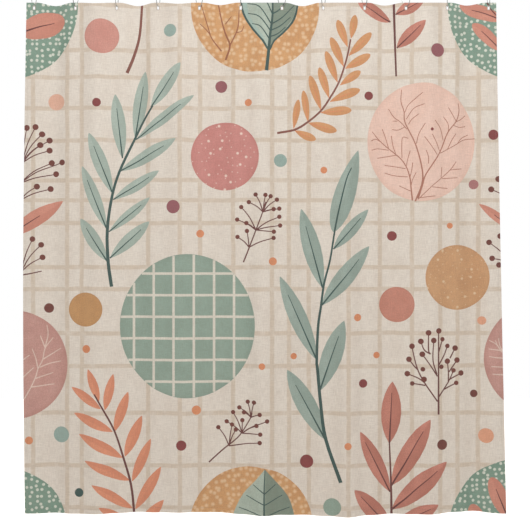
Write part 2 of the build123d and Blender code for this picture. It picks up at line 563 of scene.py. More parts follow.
@dataclass(frozen=True)
class Hang:
    """How the flat cloth hangs from its rings.

    A point of the cloth is named by `across`, its place along the rod in a row that hangs straight down
    from the header, and `drop`, its distance below the top hem.
    """

    left: float
    right: float
    top: float
    drop: float
    ring_x: tuple[float, ...]
    fold_depth: float = 0.021
    low_depths_mm: tuple[float, ...] = (14, 14, 13, 11, 13, 23, 15, 27, 16, 15, 20)
    dips_mm: tuple[float, ...] = (8, 7, 8, 9, 4, 5, 8, 5, 6, 5, 6)
    hem_stops: tuple[float, ...] = (-0.864, -0.68, -0.27, 0.0, 0.245, 0.55, 0.716, 0.864)
    hem_falls_mm: tuple[float, ...] = (0, 0, -6, 4, 9, 2, -7, 0)
    right_flare: float = 0.037
    right_bow: float = 0.002
    left_flare: float = 0.006
    left_bow: float = 0.009
    strip_share: float = 0.06
    dip_fade: float = 0.35
    edge_share: float = 0.22
    flare_power: float = 2.2
    normal_step: float = 0.0006
    refinements: int = 4
    ripples: tuple[tuple[float, float, float, float], ...] = (
        (0.22, 0.061, 1.3, 0.4),
        (0.35, 0.093, -0.9, 2.1),
        (1.3, 0.29, 2.3, 1.0),
        (0.5, 0.14, -0.45, 5.2),
    )

    def flare(self, across: float) -> float:
        """How far the bottom of a line of cloth stands to the right of its top."""
        share = (across - self.left) / (self.right - self.left)
        return self.right_flare * max(0.0, share) ** self.flare_power

    def spread(self, across: np.ndarray, drop: np.ndarray) -> np.ndarray:
        """How far the cloth has moved sideways.

        Args:
            across: Places across the cloth.
            drop: Distances below the top hem.

        Returns:
            The sideways shifts.
        """
        share = np.clip((across - self.left) / (self.right - self.left), 0, 1)
        down = np.clip(drop / self.drop, 0, 1)
        near_left = np.clip(1 - share / self.edge_share, 0, 1) ** 2
        near_right = np.clip(1 - (1 - share) / self.edge_share, 0, 1) ** 2
        bow = np.sin(math.pi * down)
        right = self.right_flare * share**self.flare_power * down - self.right_bow * near_right * bow
        return right - (self.left_flare * down + self.left_bow * bow) * near_left

    def sag(self, across: np.ndarray, drop: np.ndarray) -> np.ndarray:
        """How far the cloth has sunk below where it would hang on a straight header.

        Args:
            across: Places across the cloth.
            drop: Distances below the top hem.

        Returns:
            The downward shifts.
        """
        span, wave = self.spans(across)
        dip = np.asarray(self.dips_mm)[span] * MM * wave * np.exp(-np.maximum(drop, 0) / self.dip_fade)
        fall = eased(across, self.hem_stops, self.hem_falls_mm) * MM * drop / self.drop
        return dip + fall

    def spans(self, across: np.ndarray) -> tuple[np.ndarray, np.ndarray]:
        """Find which fold a place is in, and how far out of the rings' line it bulges.

        Args:
            across: Places across the cloth.

        Returns:
            The number of each fold, and its wave from 0 at a ring to 1 half way.
        """
        pitch = self.ring_x[1] - self.ring_x[0]
        steps = (across - self.ring_x[0]) / pitch
        span = np.clip(np.floor(steps), 0, RING_COUNT - 2).astype(int)
        share = np.clip((steps - span - self.strip_share) / (1 - 2 * self.strip_share), 0, 1)
        return span, np.sin(math.pi * share) ** 2

    def depth(self, across: np.ndarray, drop: np.ndarray) -> np.ndarray:
        """How far behind the rod the cloth is.

        Args:
            across: Places across the cloth.
            drop: Distances below the top hem.

        Returns:
            The Y of each point.
        """
        span, wave = self.spans(across)
        low = np.asarray(self.low_depths_mm)[span] * MM
        depth = self.fold_depth + (low - self.fold_depth) * smooth(drop, 0.15, 1.1)
        side = np.where(span % 2 == 0, 1.0, -1.0)
        loose = smooth(drop, 0.05, 0.35)
        ripple = sum(
            size * MM * np.sin(2 * math.pi * (across / wide + drop / tall) + start)
            for size, wide, tall, start in self.ripples
        )
        return side * depth * wave + ripple * loose

    def place(self, across: np.ndarray, drop: np.ndarray, lift: np.ndarray | float = 0.0) -> np.ndarray:
        """Put points of the cloth where they hang.

        Args:
            across: Places across the cloth.
            drop: Distances below the top hem.
            lift: Heights above the middle of the cloth, towards the printed side.

        Returns:
            The points, one row each.
        """
        middle = self.middle(across, drop)
        return middle + self.normals(across, drop) * np.reshape(lift, (-1, 1))

    def middle(self, across: np.ndarray, drop: np.ndarray) -> np.ndarray:
        """Put points on the middle of the cloth's thickness.

        Args:
            across: Places across the cloth.
            drop: Distances below the top hem.

        Returns:
            The points, one row each.
        """
        x = across + self.spread(across, drop)
        z = self.top - drop - self.sag(across, drop)
        return np.stack([x, self.depth(across, drop), z], axis=1)

    def normals(self, across: np.ndarray, drop: np.ndarray) -> np.ndarray:
        """Find which way the printed side faces at each point.

        Args:
            across: Places across the cloth.
            drop: Distances below the top hem.

        Returns:
            Directions one metre long, one row each.
        """
        step = self.normal_step
        sideways = self.middle(across + step, drop) - self.middle(across - step, drop)
        down = self.middle(across, drop + step) - self.middle(across, drop - step)
        facing = np.cross(down, sideways)
        facing = np.where(facing[:, 1:2] > 0, -facing, facing)
        return facing / np.linalg.norm(facing, axis=1, keepdims=True)

    def printed_at(self, across: np.ndarray, drop: np.ndarray) -> np.ndarray:
        """Give the place in the print, in centimetres, of points of the cloth."""
        x = across + self.spread(across, drop)
        return np.stack([x, drop + self.sag(across, drop)], axis=1) / CM

    def cloth_at(self, printed_cm: np.ndarray) -> np.ndarray:
        """Find the points of the cloth that carry places in the print.

        Args:
            printed_cm: Places in the print, one row each.

        Returns:
            Across and drop, one row each.
        """
        target = np.asarray(printed_cm, float) * CM
        across, drop = target[:, 0].copy(), target[:, 1].copy()
        for _ in range(self.refinements):
            across = target[:, 0] - self.spread(across, drop)
            drop = target[:, 1] - self.sag(across, drop)
        return np.stack([across, drop], axis=1)


# ---------------------------------------------------------------- the print


@dataclass(frozen=True)
class Shape:
    """One printed shape: its outline, its ink, and two axes that its wash follows."""

    outline: np.ndarray
    ink: str
    origin: Point
    along: Point
    across: Point

    def own_place(self, printed_cm: np.ndarray) -> np.ndarray:
        """Measure places in the print along and across this shape.

        Args:
            printed_cm: Places in the print, in centimetres.

        Returns:
            Two numbers for each place: 0 to 1 along, and -1 to 1 across.
        """
        away = printed_cm - np.asarray(self.origin)
        axes = (np.asarray(self.along, float), np.asarray(self.across, float))
        return np.stack([away @ axis / (axis @ axis) for axis in axes], axis=1)


def rounded(points: Sequence[Point], steps: int = 4) -> np.ndarray:
    """Run a smooth line through a few points.

    Args:
        points: The points that it passes.
        steps: How many pieces each stretch has.

    Returns:
        The line's points.
    """
    given = np.asarray(points, float)
    if len(given) < 3:
        return given
    padded = np.vstack([2 * given[0] - given[1], given, 2 * given[-1] - given[-2]])
    line = []
    for before, start, end, after in zip(padded, padded[1:], padded[2:], padded[3:]):
        for share in np.arange(steps) / steps:
            bend = 2 * before - 5 * start + 4 * end - after
            twist = 3 * (start - end) + after - before
            line.append(start + 0.5 * share * ((end - before) + share * (bend + share * twist)))
    return np.vstack([line, given[-1:]])


class Artwork:
    """The printed pattern, from the first shape laid down to the last."""

    LONGEST_EDGE_CM = 0.9
    DISC_EDGE_CM = 0.28
    DISC_EDGE_GROWTH = 0.055
    LEAF_POINTS = 11
    VEIN_CM = 0.22
    VEIN_GROWTH = 0.06
    STALK_CM = (0.52, 0.37)
    STALK_BERRY_CM = (0.46, 0.32)
    KNEE_AT = 0.55
    KNEE_OUT = 0.12

    def __init__(self) -> None:
        """Start with bare ground."""
        self.shapes: list[Shape] = []

    def outline(self, points: np.ndarray, ink: str, along: Point, across: Point, origin: Point) -> None:
        """Lay down one outline, with edges short enough to follow the folds.

        Args:
            points: Its corners, in centimetres.
            ink: Its ink.
            along: The direction and length that its wash runs along.
            across: The direction and half width across that.
            origin: Where both start.
        """
        corners = np.asarray(points, float)
        fine = []
        for start, end in zip(corners, np.roll(corners, -1, axis=0)):
            count = max(1, math.ceil(np.linalg.norm(end - start) / self.LONGEST_EDGE_CM))
            fine += [start + (end - start) * step / count for step in range(count)]
        self.shapes.append(Shape(np.array(fine), ink, origin, along, across))

    def disc(self, middle: Point, wide: float, ink: str, high: float | None = None) -> None:
        """Lay down a round patch.

        Args:
            middle: Its centre, in centimetres.
            wide: Its radius across.
            ink: Its ink.
            high: Its radius down, where that differs.
        """
        high = high or wide
        edge = self.DISC_EDGE_CM + self.DISC_EDGE_GROWTH * wide
        count = max(10, round(2 * math.pi * wide / edge))
        turn = np.arange(count) * 2 * math.pi / count
        points = np.stack([middle[0] + wide * np.cos(turn), middle[1] + high * np.sin(turn)], axis=1)
        self.outline(points, ink, (wide, 0.0), (0.0, high), middle)

    def dots(self, ink: str, *dots: tuple[float, float, float]) -> None:
        """Lay down small dots, each given by its centre and radius."""
        for across, down, radius in dots:
            self.disc((across, down), radius, ink)

    def stem(self, ink: str, start: float, end: float, *points: Point) -> None:
        """Lay down a tapering line.

        Args:
            ink: Its ink.
            start: Its width at the first point, in centimetres.
            end: Its width at the last point.
            points: The points that it passes.
        """
        line = rounded(points)
        run = np.gradient(line, axis=0)
        side = np.stack([-run[:, 1], run[:, 0]], axis=1) / np.linalg.norm(run, axis=1, keepdims=True)
        half = np.linspace(start, end, len(line))[:, None] / 2
        edge = np.vstack([line + side * half, (line - side * half)[::-1]])
        reach = line[-1] - line[0]
        self.outline(edge, ink, tuple(reach), (-reach[1], reach[0]), tuple(line[0]))

    def stems(self, ink: str, start: float, end: float, *lines: Sequence[Point]) -> None:
        """Lay down several lines of one ink and width."""
        for line in lines:
            self.stem(ink, start, end, *line)

    def leaf(
        self,
        ink: str,
        base: Point,
        tip: Point,
        width: float,
        vein: str,
        vein_share: float = 0.78,
        blunt: float = 0.85,
        fullest: float = 1.0,
    ) -> None:
        """Lay down a leaf with its middle vein.

        Args:
            ink: The leaf's ink.
            base: Where it leaves the stem.
            tip: Its point.
            width: Its widest, in centimetres.
            vein: The vein's ink.
            vein_share: How far up the leaf the vein runs.
            blunt: 1 for sharp ends, less for rounder ones.
            fullest: Over 1 puts the widest place nearer the tip, under 1 nearer the base.
        """
        start, end = np.asarray(base, float), np.asarray(tip, float)
        reach = end - start
        side = np.array([-reach[1], reach[0]]) / np.linalg.norm(reach)
        share = (1 - np.cos(np.linspace(0, math.pi, self.LEAF_POINTS))) / 2
        swell = share**fullest
        half = width / 2 * (4 * swell * (1 - swell)) ** blunt
        spine = start + reach * share[:, None]
        edge = np.vstack([spine + side * half[:, None], (spine - side * half[:, None])[-2:0:-1]])
        self.outline(edge, ink, tuple(reach), tuple(side * width / 2), base)
        if vein_share:
            thick = self.VEIN_GROWTH * width + self.VEIN_CM
            self.stem(vein, thick, self.VEIN_CM, base, tuple(start + reach * vein_share))

    def leaves(self, ink: str, vein: str, *leaves: tuple[float, ...], **form: float) -> None:
        """Lay down several leaves of one form, each given by its base, tip and width."""
        for across, down, tip_across, tip_down, width in leaves:
            self.leaf(ink, (across, down), (tip_across, tip_down), width, vein, **form)

    def sprig(self, foot: Point, radius: float, *berries: Point) -> None:
        """Lay down berries on fine stalks that bend towards one foot.

        Args:
            foot: Where the stalks meet.
            radius: The berries' radius.
            berries: Their centres.
        """
        for berry in berries:
            start, end = np.asarray(foot, float), np.asarray(berry, float)
            knee = start + (end - start) * self.KNEE_AT
            knee[0] -= self.KNEE_OUT * (end[0] - start[0])
            self.stem("plum_brown", *self.STALK_BERRY_CM, foot, tuple(knee), berry)
        self.berries(radius, *berries)

    def berries(self, radius: float, *middles: Point) -> None:
        """Lay down berries of one size."""
        for middle in middles:
            self.disc(middle, radius, "berry")


class Botanical(Artwork):
    """Leaves, berries and round patches over a soft check."""

    def __init__(self) -> None:
        """Lay down the patches, then what grows over them."""
        super().__init__()
        self.patches()
        self.small_dots()
        self.tall_sage_sprays()
        self.ochre_spray()
        self.terracotta_spray()
        self.rose_plant()
        self.berry_sprigs()

    def patches(self) -> None:
        """Lay down the large round patches and what is drawn on each."""
        self.disc((-93.6, 0.9), 26.12, "green_dotted", 27.41)
        for middle, wide in (((95.5, 1.7), 26.86), ((-94.3, 194.1), 22.81), ((95.2, 194.1), 26.34)):
            self.disc(middle, wide, "green_dotted")
        self.leaf("salmon_leaf", (-88.4, 11.0), (-72.6, 5.9), 9.2, "plum_brown", 0.75, 0.45)
        self.leaves(
            "salmon_leaf", "plum_brown",
            (88.5, 6.4, 73.1, 0.6, 5.15), (88.2, 17.5, 78.0, 7.4, 4.78),
            (90.4, 188.9, 84.5, 174.6, 6.25), (81.2, 194.1, 77.5, 184.9, 5.89),
            vein_share=0.7, blunt=0.55,
        )
        self.stem("plum_brown", 0.59, 0.37, (82.6, -0.9), (84.1, 2.0), (86.7, 5.0))
        self.disc((-58.6, 12.5), 6.33, "rose")
        self.orange_patches()
        self.disc((-13.4, 56.5), 12.51, "pink_specked")
        self.disc((-64.6, 112.9), 6.25, "ochre")
        self.disc((72.1, 101.1), 11.92, "ochre_specked")
        self.disc((49.9, 111.1), 6.48, "brick_rose")
        self.disc((26.0, 185.5), 3.24, "sage")
        self.checked_patch((-27.2, 119.0), 24.83, 26.49)
        self.blush_patch()
        self.dusty_patches()

    def orange_patches(self) -> None:
        """Lay down the two orange patches, the twigs on the top one and a leaf on each."""
        self.disc((-2.3, 2.0), 23.55, "orange_mottled")
        self.disc((-3.8, 193.3), 22.81, "orange_mottled")
        for start, end, *line in (
            (0.44, 0.74, (-16.3, -1.7), (-14.7, 6.1), (-13.3, 11.0), (-11.6, 15.7), (-13.2, 20.8)),
            (0.37, 0.52, (-8.2, 2.8), (-8.4, 7.5), (-9.2, 10.9), (-11.6, 15.7)),
            (0.29, 0.52, (-22.6, 7.8), (-19.6, 10.7), (-17.8, 13.7), (-14.7, 17.5)),
            (0.29, 0.44, (-22.2, 0.6), (-19.8, 8.5), (-18.9, 11.6)),
            (0.26, 0.37, (-6.4, 8.5), (-7.3, 10.5), (-9.1, 11.0)),
            (0.26, 0.37, (-11.0, 4.9), (-13.3, 7.6)),
        ):
            self.stem("bark", start, end, *line)
        self.broad_leaf()
        self.leaf_tip()

    def broad_leaf(self) -> None:
        """Lay down the broad leaf that hangs over the top orange patch."""
        axes = ((0.0, 19.87), (11.04, 0.0), (3.0, -2.4))
        right_side = ((4.5, 13.8), (8.6, 10.0), (11.9, 5.2), (13.5, -2.4))
        left_side = ((-7.5, -2.4), (-6.2, 3.9), (-2.9, 9.6), (0.8, 14.0))
        edge = (
            (-8.2, -2.4), (-6.9, 4.2), (-3.4, 10.1), (0.2, 14.5), (2.1, 17.5),
            (3.4, 17.5), (5.0, 14.2), (9.1, 10.5), (12.6, 5.5), (14.2, -2.4),
        )
        inside = (*left_side, (2.4, 16.7), (3.0, 16.7), *right_side)
        left_rim = (*left_side, (0.4, 12.3), (-2.3, 8.6), (-4.7, 3.9), (-5.5, -2.4))
        right_half = ((4.1, -2.4), (4.1, 4.6), (3.2, 12.0), (3.0, 16.7), *right_side)
        self.outline(rounded(edge, 3), "dark_green", *axes)
        self.outline(rounded(inside, 3), "pale_sage", *axes)
        self.outline(rounded(left_rim, 3), "pale_teal", *axes)
        self.outline(np.array(right_half), "shaded_sage", *axes)
        self.stem("dark_green", 0.55, 1.25, (4.1, -2.4), (4.1, 4.6), (3.2, 12.0), (2.7, 17.5), (1.9, 25.2))
        for foot, tip, lift in (
            ((3.8, 8.3), (-5.1, 0.4), 2.4),
            ((3.5, 10.7), (-4.9, 4.0), 1.8),
            ((2.8, 13.4), (-3.4, 7.9), 1.5),
            ((4.0, 4.2), (-0.7, -0.9), 2.0),
            ((3.9, 7.9), (12.0, 0.9), -0.8),
            ((3.6, 10.3), (10.7, 5.3), -0.6),
            ((3.3, 12.7), (8.9, 9.0), -0.5),
            ((4.1, 4.2), (9.1, -0.6), -0.8),
        ):
            middle = ((foot[0] + tip[0]) / 2, (foot[1] + tip[1]) / 2 - lift)
            self.stem("dark_green", 0.48, 0.29, foot, middle, tip)

    def leaf_tip(self) -> None:
        """Lay down the leaf's tip that stands up at the bottom hem, on the other orange patch."""
        point, foot = (1.3, 171.3), 194.1
        axes = ((0.0, 22.81), (11.4, 0.0), point)
        right_side = rounded((point, (5.0, 175.7), (9.8, 181.6), (12.0, 188.2), (12.7, foot)), 3)
        left_side = rounded(((-11.5, foot), (-10.1, 187.4), (-6.8, 180.8), (-2.3, 175.7), point), 3)
        self.outline(np.vstack([right_side, left_side[:-1]]), "pale_sage", *axes)
        self.outline(np.vstack([right_side, (1.2, foot)]), "shaded_sage", *axes)
        self.stem("dark_green", 0.22, 0.66, point, (1.0, 179.4), (1.0, foot))
        spine, rise = 1.1, 3.3
        for side in (-1, 1):
            for reach, down in ((4.1, 177.1), (6.6, 181.2), (9.4, 185.6)):
                self.stem("dark_green", 0.4, 0.26, (spine, down + rise), (spine + side * reach, down))

    def checked_patch(self, middle: Point, wide: float, high: float) -> None:
        """Lay down the sage patch with its pale lines.

        Args:
            middle: Its centre, in centimetres.
            wide: Its radius across.
            high: Its radius down.
        """
        self.disc(middle, wide, "sage", high)
        step_across, step_down, width = 7.39, 7.95, 0.92
        first_across, first_down = 0.32, -0.43
        widest, short_of_rim = 0.97, 0.995
        uprights = [((count + first_across) * step_across / wide, True) for count in range(-4, 4)]
        levels = [((count + first_down) * step_down / high, False) for count in range(-3, 4)]
        for share, upright in uprights + levels:
            if abs(share) >= widest:
                continue
            half = math.sqrt(1 - share * share) * short_of_rim
            if upright:
                ends = [(middle[0] + share * wide, middle[1] + sign * half * high) for sign in (-1, 1)]
            else:
                ends = [(middle[0] + sign * half * wide, middle[1] + share * high) for sign in (-1, 1)]
            self.stem("chalk", width, width, *ends)

    def blush_patch(self) -> None:
        """Lay down the blush patch and its bare branches."""
        self.disc((58.9, 51.3), 19.87, "blush", 21.71)
        thin, thick, ink = 0.26, 0.55, "faint_brown"
        self.stems(
            ink, thin, thick,
            (
                (51.6, 32.0), (51.4, 36.4), (52.5, 40.1), (52.9, 44.2), (56.6, 51.9), (59.0, 61.3),
                (58.9, 66.9), (56.6, 73.1),
            ),
            (
                (40.8, 47.5), (43.6, 50.7), (50.5, 56.6), (53.3, 60.3), (54.7, 64.4), (55.1, 68.1),
                (55.6, 72.8),
            ),
            (
                (72.5, 37.0), (72.8, 40.1), (71.6, 43.8), (68.5, 47.9), (65.4, 55.4), (60.4, 63.1),
                (59.2, 66.9), (57.6, 72.1),
            ),
        )
        self.stems(
            ink, thin, thin,
            ((59.2, 33.2), (56.4, 35.5), (53.9, 37.9), (52.8, 40.4)),
            ((59.8, 37.4), (56.1, 38.9), (53.3, 42.9)),
            ((57.8, 41.0), (55.4, 42.9), (54.1, 44.8)),
            ((47.0, 38.9), (48.9, 42.0), (51.1, 43.8), (53.6, 46.6)),
            ((48.5, 43.4), (50.2, 43.5)),
            ((48.3, 46.5), (50.5, 46.8), (52.8, 45.7)),
            ((60.1, 44.5), (57.9, 48.2), (57.0, 51.9)),
            ((44.6, 46.3), (45.8, 49.4), (47.0, 53.5)),
            ((48.0, 48.8), (48.6, 52.6), (49.5, 55.4)),
            ((54.1, 49.9), (52.0, 49.6), (51.7, 53.2), (51.8, 57.2)),
            ((54.8, 54.4), (53.9, 57.5), (53.3, 60.3)),
            ((55.7, 58.8), (55.3, 61.9), (54.7, 64.1)),
            ((40.4, 50.9), (42.1, 50.2), (44.2, 51.2)),
            ((40.6, 54.3), (43.0, 53.7), (47.0, 54.1)),
            ((42.7, 57.2), (46.1, 56.6), (50.0, 56.0)),
            ((45.5, 59.7), (49.2, 60.3), (53.1, 61.1)),
            ((45.6, 62.6), (49.5, 63.7), (53.9, 64.1)),
            ((50.8, 67.4), (52.9, 68.4), (54.9, 69.3)),
            ((56.9, 62.5), (55.7, 65.0), (55.1, 67.2)),
            ((68.8, 38.6), (70.4, 41.4), (71.6, 43.5)),
            ((75.2, 41.4), (73.5, 42.9), (71.7, 43.8)),
            ((66.9, 42.0), (68.6, 44.5), (68.8, 47.6)),
            ((75.3, 45.4), (72.8, 45.8), (70.7, 45.2)),
            ((63.7, 43.4), (65.7, 46.3), (66.8, 50.7)),
            ((62.6, 48.5), (64.1, 51.3), (65.4, 54.7)),
            ((59.8, 49.4), (62.6, 53.2), (64.5, 56.0)),
            ((60.4, 54.4), (61.2, 56.9), (61.2, 59.4)),
            ((71.6, 48.2), (70.0, 50.7), (68.5, 53.9)),
            ((76.3, 48.5), (73.8, 49.8), (72.2, 51.9)),
            ((78.8, 49.9), (74.7, 50.4), (71.0, 52.6), (65.7, 55.5)),
            ((71.7, 58.5), (69.4, 61.6), (66.0, 64.7), (62.3, 67.8), (57.6, 72.4)),
            ((73.8, 61.1), (69.4, 61.6)),
            ((66.3, 60.6), (66.0, 64.5)),
            ((72.2, 64.4), (66.3, 64.8)),
            ((68.5, 68.4), (62.6, 67.9)),
            ((63.8, 71.2), (58.2, 71.8)),
        )

    def dusty_patches(self) -> None:
        """Lay down the two dusty pink patches at the sides and their pale twigs."""
        self.disc((-91.4, 133.2), 20.05, "dusty_pink")
        self.disc((102.5, 130.8), 20.49, "dusty_pink")
        self.stems(
            "pale_twig", 0.44, 0.29,
            (
                (-87.3, 145.9), (-84.8, 141.6), (-83.0, 137.6), (-82.2, 134.7), (-80.6, 131.4),
                (-79.7, 127.1), (-76.8, 123.2),
            ),
            ((-79.7, 127.1), (-81.4, 122.5)),
            ((-79.7, 126.7), (-78.7, 122.2), (-79.1, 118.6)),
            ((-80.4, 131.2), (-73.8, 127.1)),
            ((-81.7, 134.2), (-78.1, 132.8), (-73.8, 131.9)),
            ((-83.3, 138.3), (-76.8, 136.2)),
            ((-84.6, 141.4), (-76.4, 140.4)),
            ((-82.2, 134.7), (-83.0, 130.8), (-84.3, 127.3)),
            ((-88.4, 138.5), (-83.7, 134.2)),
            ((-88.8, 132.3), (-85.2, 129.6)),
            ((88.5, 128.6), (86.5, 125.8), (83.8, 124.2)),
            ((88.5, 127.8), (87.4, 127.1), (86.0, 124.2)),
            ((88.9, 128.2), (87.8, 126.4), (87.2, 123.4)),
            ((88.5, 128.0), (83.6, 127.4)),
            ((88.9, 130.8), (86.3, 130.6), (83.8, 130.2)),
            ((88.9, 134.1), (84.5, 133.9)),
            ((88.9, 136.9), (85.0, 136.7)),
        )

    def small_dots(self) -> None:
        """Scatter the small dots."""
        self.dots("teal", (-33.5, 10.4, 2.32), (-73.7, 159.0, 2.94))
        self.dots("peach", (-75.6, 36.4, 3.02))
        self.dots("apricot", (81.3, 117.0, 1.55), (82.8, 159.4, 2.72))
        self.dots("plum", (-14.8, 30.7, 2.21), (64.7, 17.6, 2.5), (-32.4, 75.1, 2.46))
        self.dots(
            "wine",
            (-60.4, 36.9, 1.58), (37.4, 140.1, 1.58), (-29.4, 162.8, 1.88), (39.5, 34.3, 1.58),
            (85.4, 48.6, 1.88), (48.2, 85.8, 1.77), (62.6, 46.7, 0.59), (16.7, 169.0, 2.46),
        )
        self.dots("faded_plum", (78.4, 66.8, 1.77))
        self.dots(
            "orange",
            (-4.8, 36.8, 1.32), (23.0, 61.6, 1.25), (-22.5, 85.0, 1.43), (69.3, 82.1, 1.1),
            (-64.3, 127.4, 1.47), (4.2, 95.2, 1.47), (11.9, 130.1, 1.18), (0.2, 133.7, 1.21),
            (35.3, 115.8, 1.36), (42.4, 129.7, 1.21), (-85.5, 161.1, 1.47), (-23.9, 149.9, 1.69),
            (31.7, 162.9, 1.32),
        )
        self.dots("teal", (7.0, 58.1, 2.39))
        self.dots("dark_green", (-67.0, 180.2, 1.62))
        self.dots("berry", (-78.3, 112.4, 1.77), (78.5, 144.0, 1.4), (66.4, 162.5, 1.91))

    def tall_sage_sprays(self) -> None:
        """Lay down the two tall sage sprays."""
        self.leaves(
            "sage_leaf", "dark_green",
            (-40.6, 38.4, -29.7, 22.3, 5.15), (-46.3, 50.2, -24.8, 34.0, 4.05),
            (-46.6, 49.9, -42.8, 25.2, 5.15), (-51.1, 57.2, -53.8, 33.7, 5.15),
            (-51.9, 62.0, -31.4, 50.0, 4.78), (-54.5, 72.5, -37.7, 61.8, 4.05),
            (-56.0, 84.3, -41.1, 71.6, 3.68), (-55.7, 94.0, -41.3, 80.5, 4.78),
            (-54.7, 70.3, -63.3, 48.0, 5.15), (-56.9, 83.1, -65.9, 60.2, 4.78),
            (-56.7, 95.1, -66.5, 79.5, 5.15),
            blunt=0.78, fullest=1.1,
        )
        self.stem(
            "dark_green", 1.25, 0.66,
            (-55.1, 104.5), (-56.3, 95.4), (-56.6, 83.5), (-54.9, 71.2), (-52.1, 62.0), (-46.7, 50.0),
            (-43.3, 43.2), (-40.0, 37.9),
        )
        self.leaf("deep_sage_leaf", (26.4, 84.4), (35.6, 54.4), 7.73, "dark_green", 0, 0.85, 0.8)
        self.leaves(
            "deep_sage_leaf", "dark_green",
            (26.5, 90.7, 39.3, 76.1, 4.78), (22.3, 111.3, 39.7, 89.6, 6.62),
            (21.5, 142.8, 30.3, 116.9, 7.36), (22.5, 104.9, 14.7, 75.8, 6.62),
            (20.4, 131.5, 6.8, 100.7, 6.62), (23.5, 160.7, 9.5, 135.1, 7.36),
        )
        self.stem(
            "dark_green", 1.32, 0.37,
            (29.1, 176.3), (23.7, 160.7), (21.9, 148.4), (20.7, 135.2), (20.4, 131.5), (20.9, 119.3),
            (21.9, 112.0), (23.1, 103.3), (25.3, 94.6), (27.1, 83.1), (28.7, 75.1), (31.1, 65.3),
            (33.0, 60.9),
        )

    def ochre_spray(self) -> None:
        """Lay down the ochre spray near the top."""
        self.leaves(
            "ochre_leaf", "orange",
            (32.9, 13.4, 34.5, 4.7, 2.94), (32.1, 19.8, 40.5, 11.0, 3.31),
            (30.8, 24.6, 40.1, 19.0, 3.31), (28.9, 30.6, 36.5, 25.2, 2.94),
            (25.3, 36.4, 36.3, 32.0, 3.31), (21.9, 40.4, 33.1, 39.8, 3.31),
            (17.5, 44.1, 27.7, 47.4, 3.31), (12.4, 47.0, 20.1, 50.4, 2.94),
            vein_share=0.7, blunt=0.6, fullest=1.35,
        )
        self.leaves(
            "ochre_leaf", "orange",
            (31.5, 16.6, 27.9, 6.7, 2.94), (30.1, 23.8, 25.5, 12.8, 2.94),
            (27.9, 29.4, 23.7, 17.8, 2.94), (24.9, 35.0, 21.3, 23.8, 2.94),
            (21.9, 39.4, 17.9, 26.6, 2.94), (17.3, 43.6, 15.5, 32.0, 2.58),
            (11.9, 46.2, 13.7, 35.4, 2.58),
            vein_share=0.7, blunt=0.6, fullest=1.35,
        )
        self.stem(
            "twig_brown", 0.81, 0.59,
            (5.8, 48.0), (11.9, 46.8), (17.2, 43.7), (21.9, 39.8), (25.3, 35.0), (28.3, 29.8),
            (30.3, 24.2), (31.7, 19.0), (32.7, 13.8),
        )

    def terracotta_spray(self) -> None:
        """Lay down the terracotta spray at the bottom left, and the bare twig at the top."""
        self.leaves(
            "terracotta_leaf", "plum_brown",
            (-59.5, 146.4, -63.7, 134.8, 3.31), (-57.5, 149.9, -54.5, 136.6, 3.31),
            (-58.9, 149.4, -69.8, 141.4, 3.31), (-54.1, 157.9, -49.1, 143.2, 3.68),
            (-54.7, 157.9, -68.9, 150.9, 3.68), (-50.3, 167.1, -44.1, 152.1, 4.05),
            (-51.1, 167.5, -67.1, 158.7, 4.05), (-47.7, 176.4, -40.7, 160.5, 3.68),
            (-48.5, 176.0, -64.9, 168.5, 3.68), (-46.5, 186.7, -36.9, 170.7, 4.05),
            (-47.5, 186.3, -62.3, 177.3, 3.68), (-45.7, 194.1, -35.9, 182.9, 4.05),
            (-46.5, 193.3, -59.7, 185.6, 3.68),
            vein_share=0,
        )
        self.stem(
            "plum_brown", 0.96, 0.52,
            (-46.5, 194.1), (-47.0, 187.4), (-48.1, 177.5), (-50.9, 167.1), (-54.1, 157.5),
            (-59.3, 147.6), (-61.3, 144.0),
        )
        self.stem("twig_brown", 0.88, 1.1, (-43.9, -2.4), (-44.9, 11.0), (-46.9, 18.9), (-49.5, 25.8))

    def rose_plant(self) -> None:
        """Lay down the rose plant at the bottom right, and where it comes again at the top."""
        self.leaves(
            "rose_leaf", "plum_brown",
            (47.3, 162.3, 48.4, 139.6, 7.36), (48.1, 177.9, 62.0, 153.2, 7.36),
            (48.3, 186.7, 68.2, 168.9, 7.36), (47.5, 180.3, 36.3, 157.8, 5.89),
            (48.1, 194.1, 34.1, 179.0, 6.62), (48.8, 193.3, 65.0, 184.5, 5.89),
            (47.7, 6.8, 35.2, -0.6, 4.78), (49.5, 4.2, 59.8, -0.9, 4.78), (49.9, 16.6, 60.2, 6.8, 5.15),
            vein_share=0.82,
        )
        self.stem("plum_brown", 0.96, 0.52, (48.1, 194.1), (47.9, 177.9), (47.3, 162.3))
        self.stem("plum_brown", 0.88, 0.59, (48.8, -2.4), (49.2, 12.3), (49.7, 27.0))

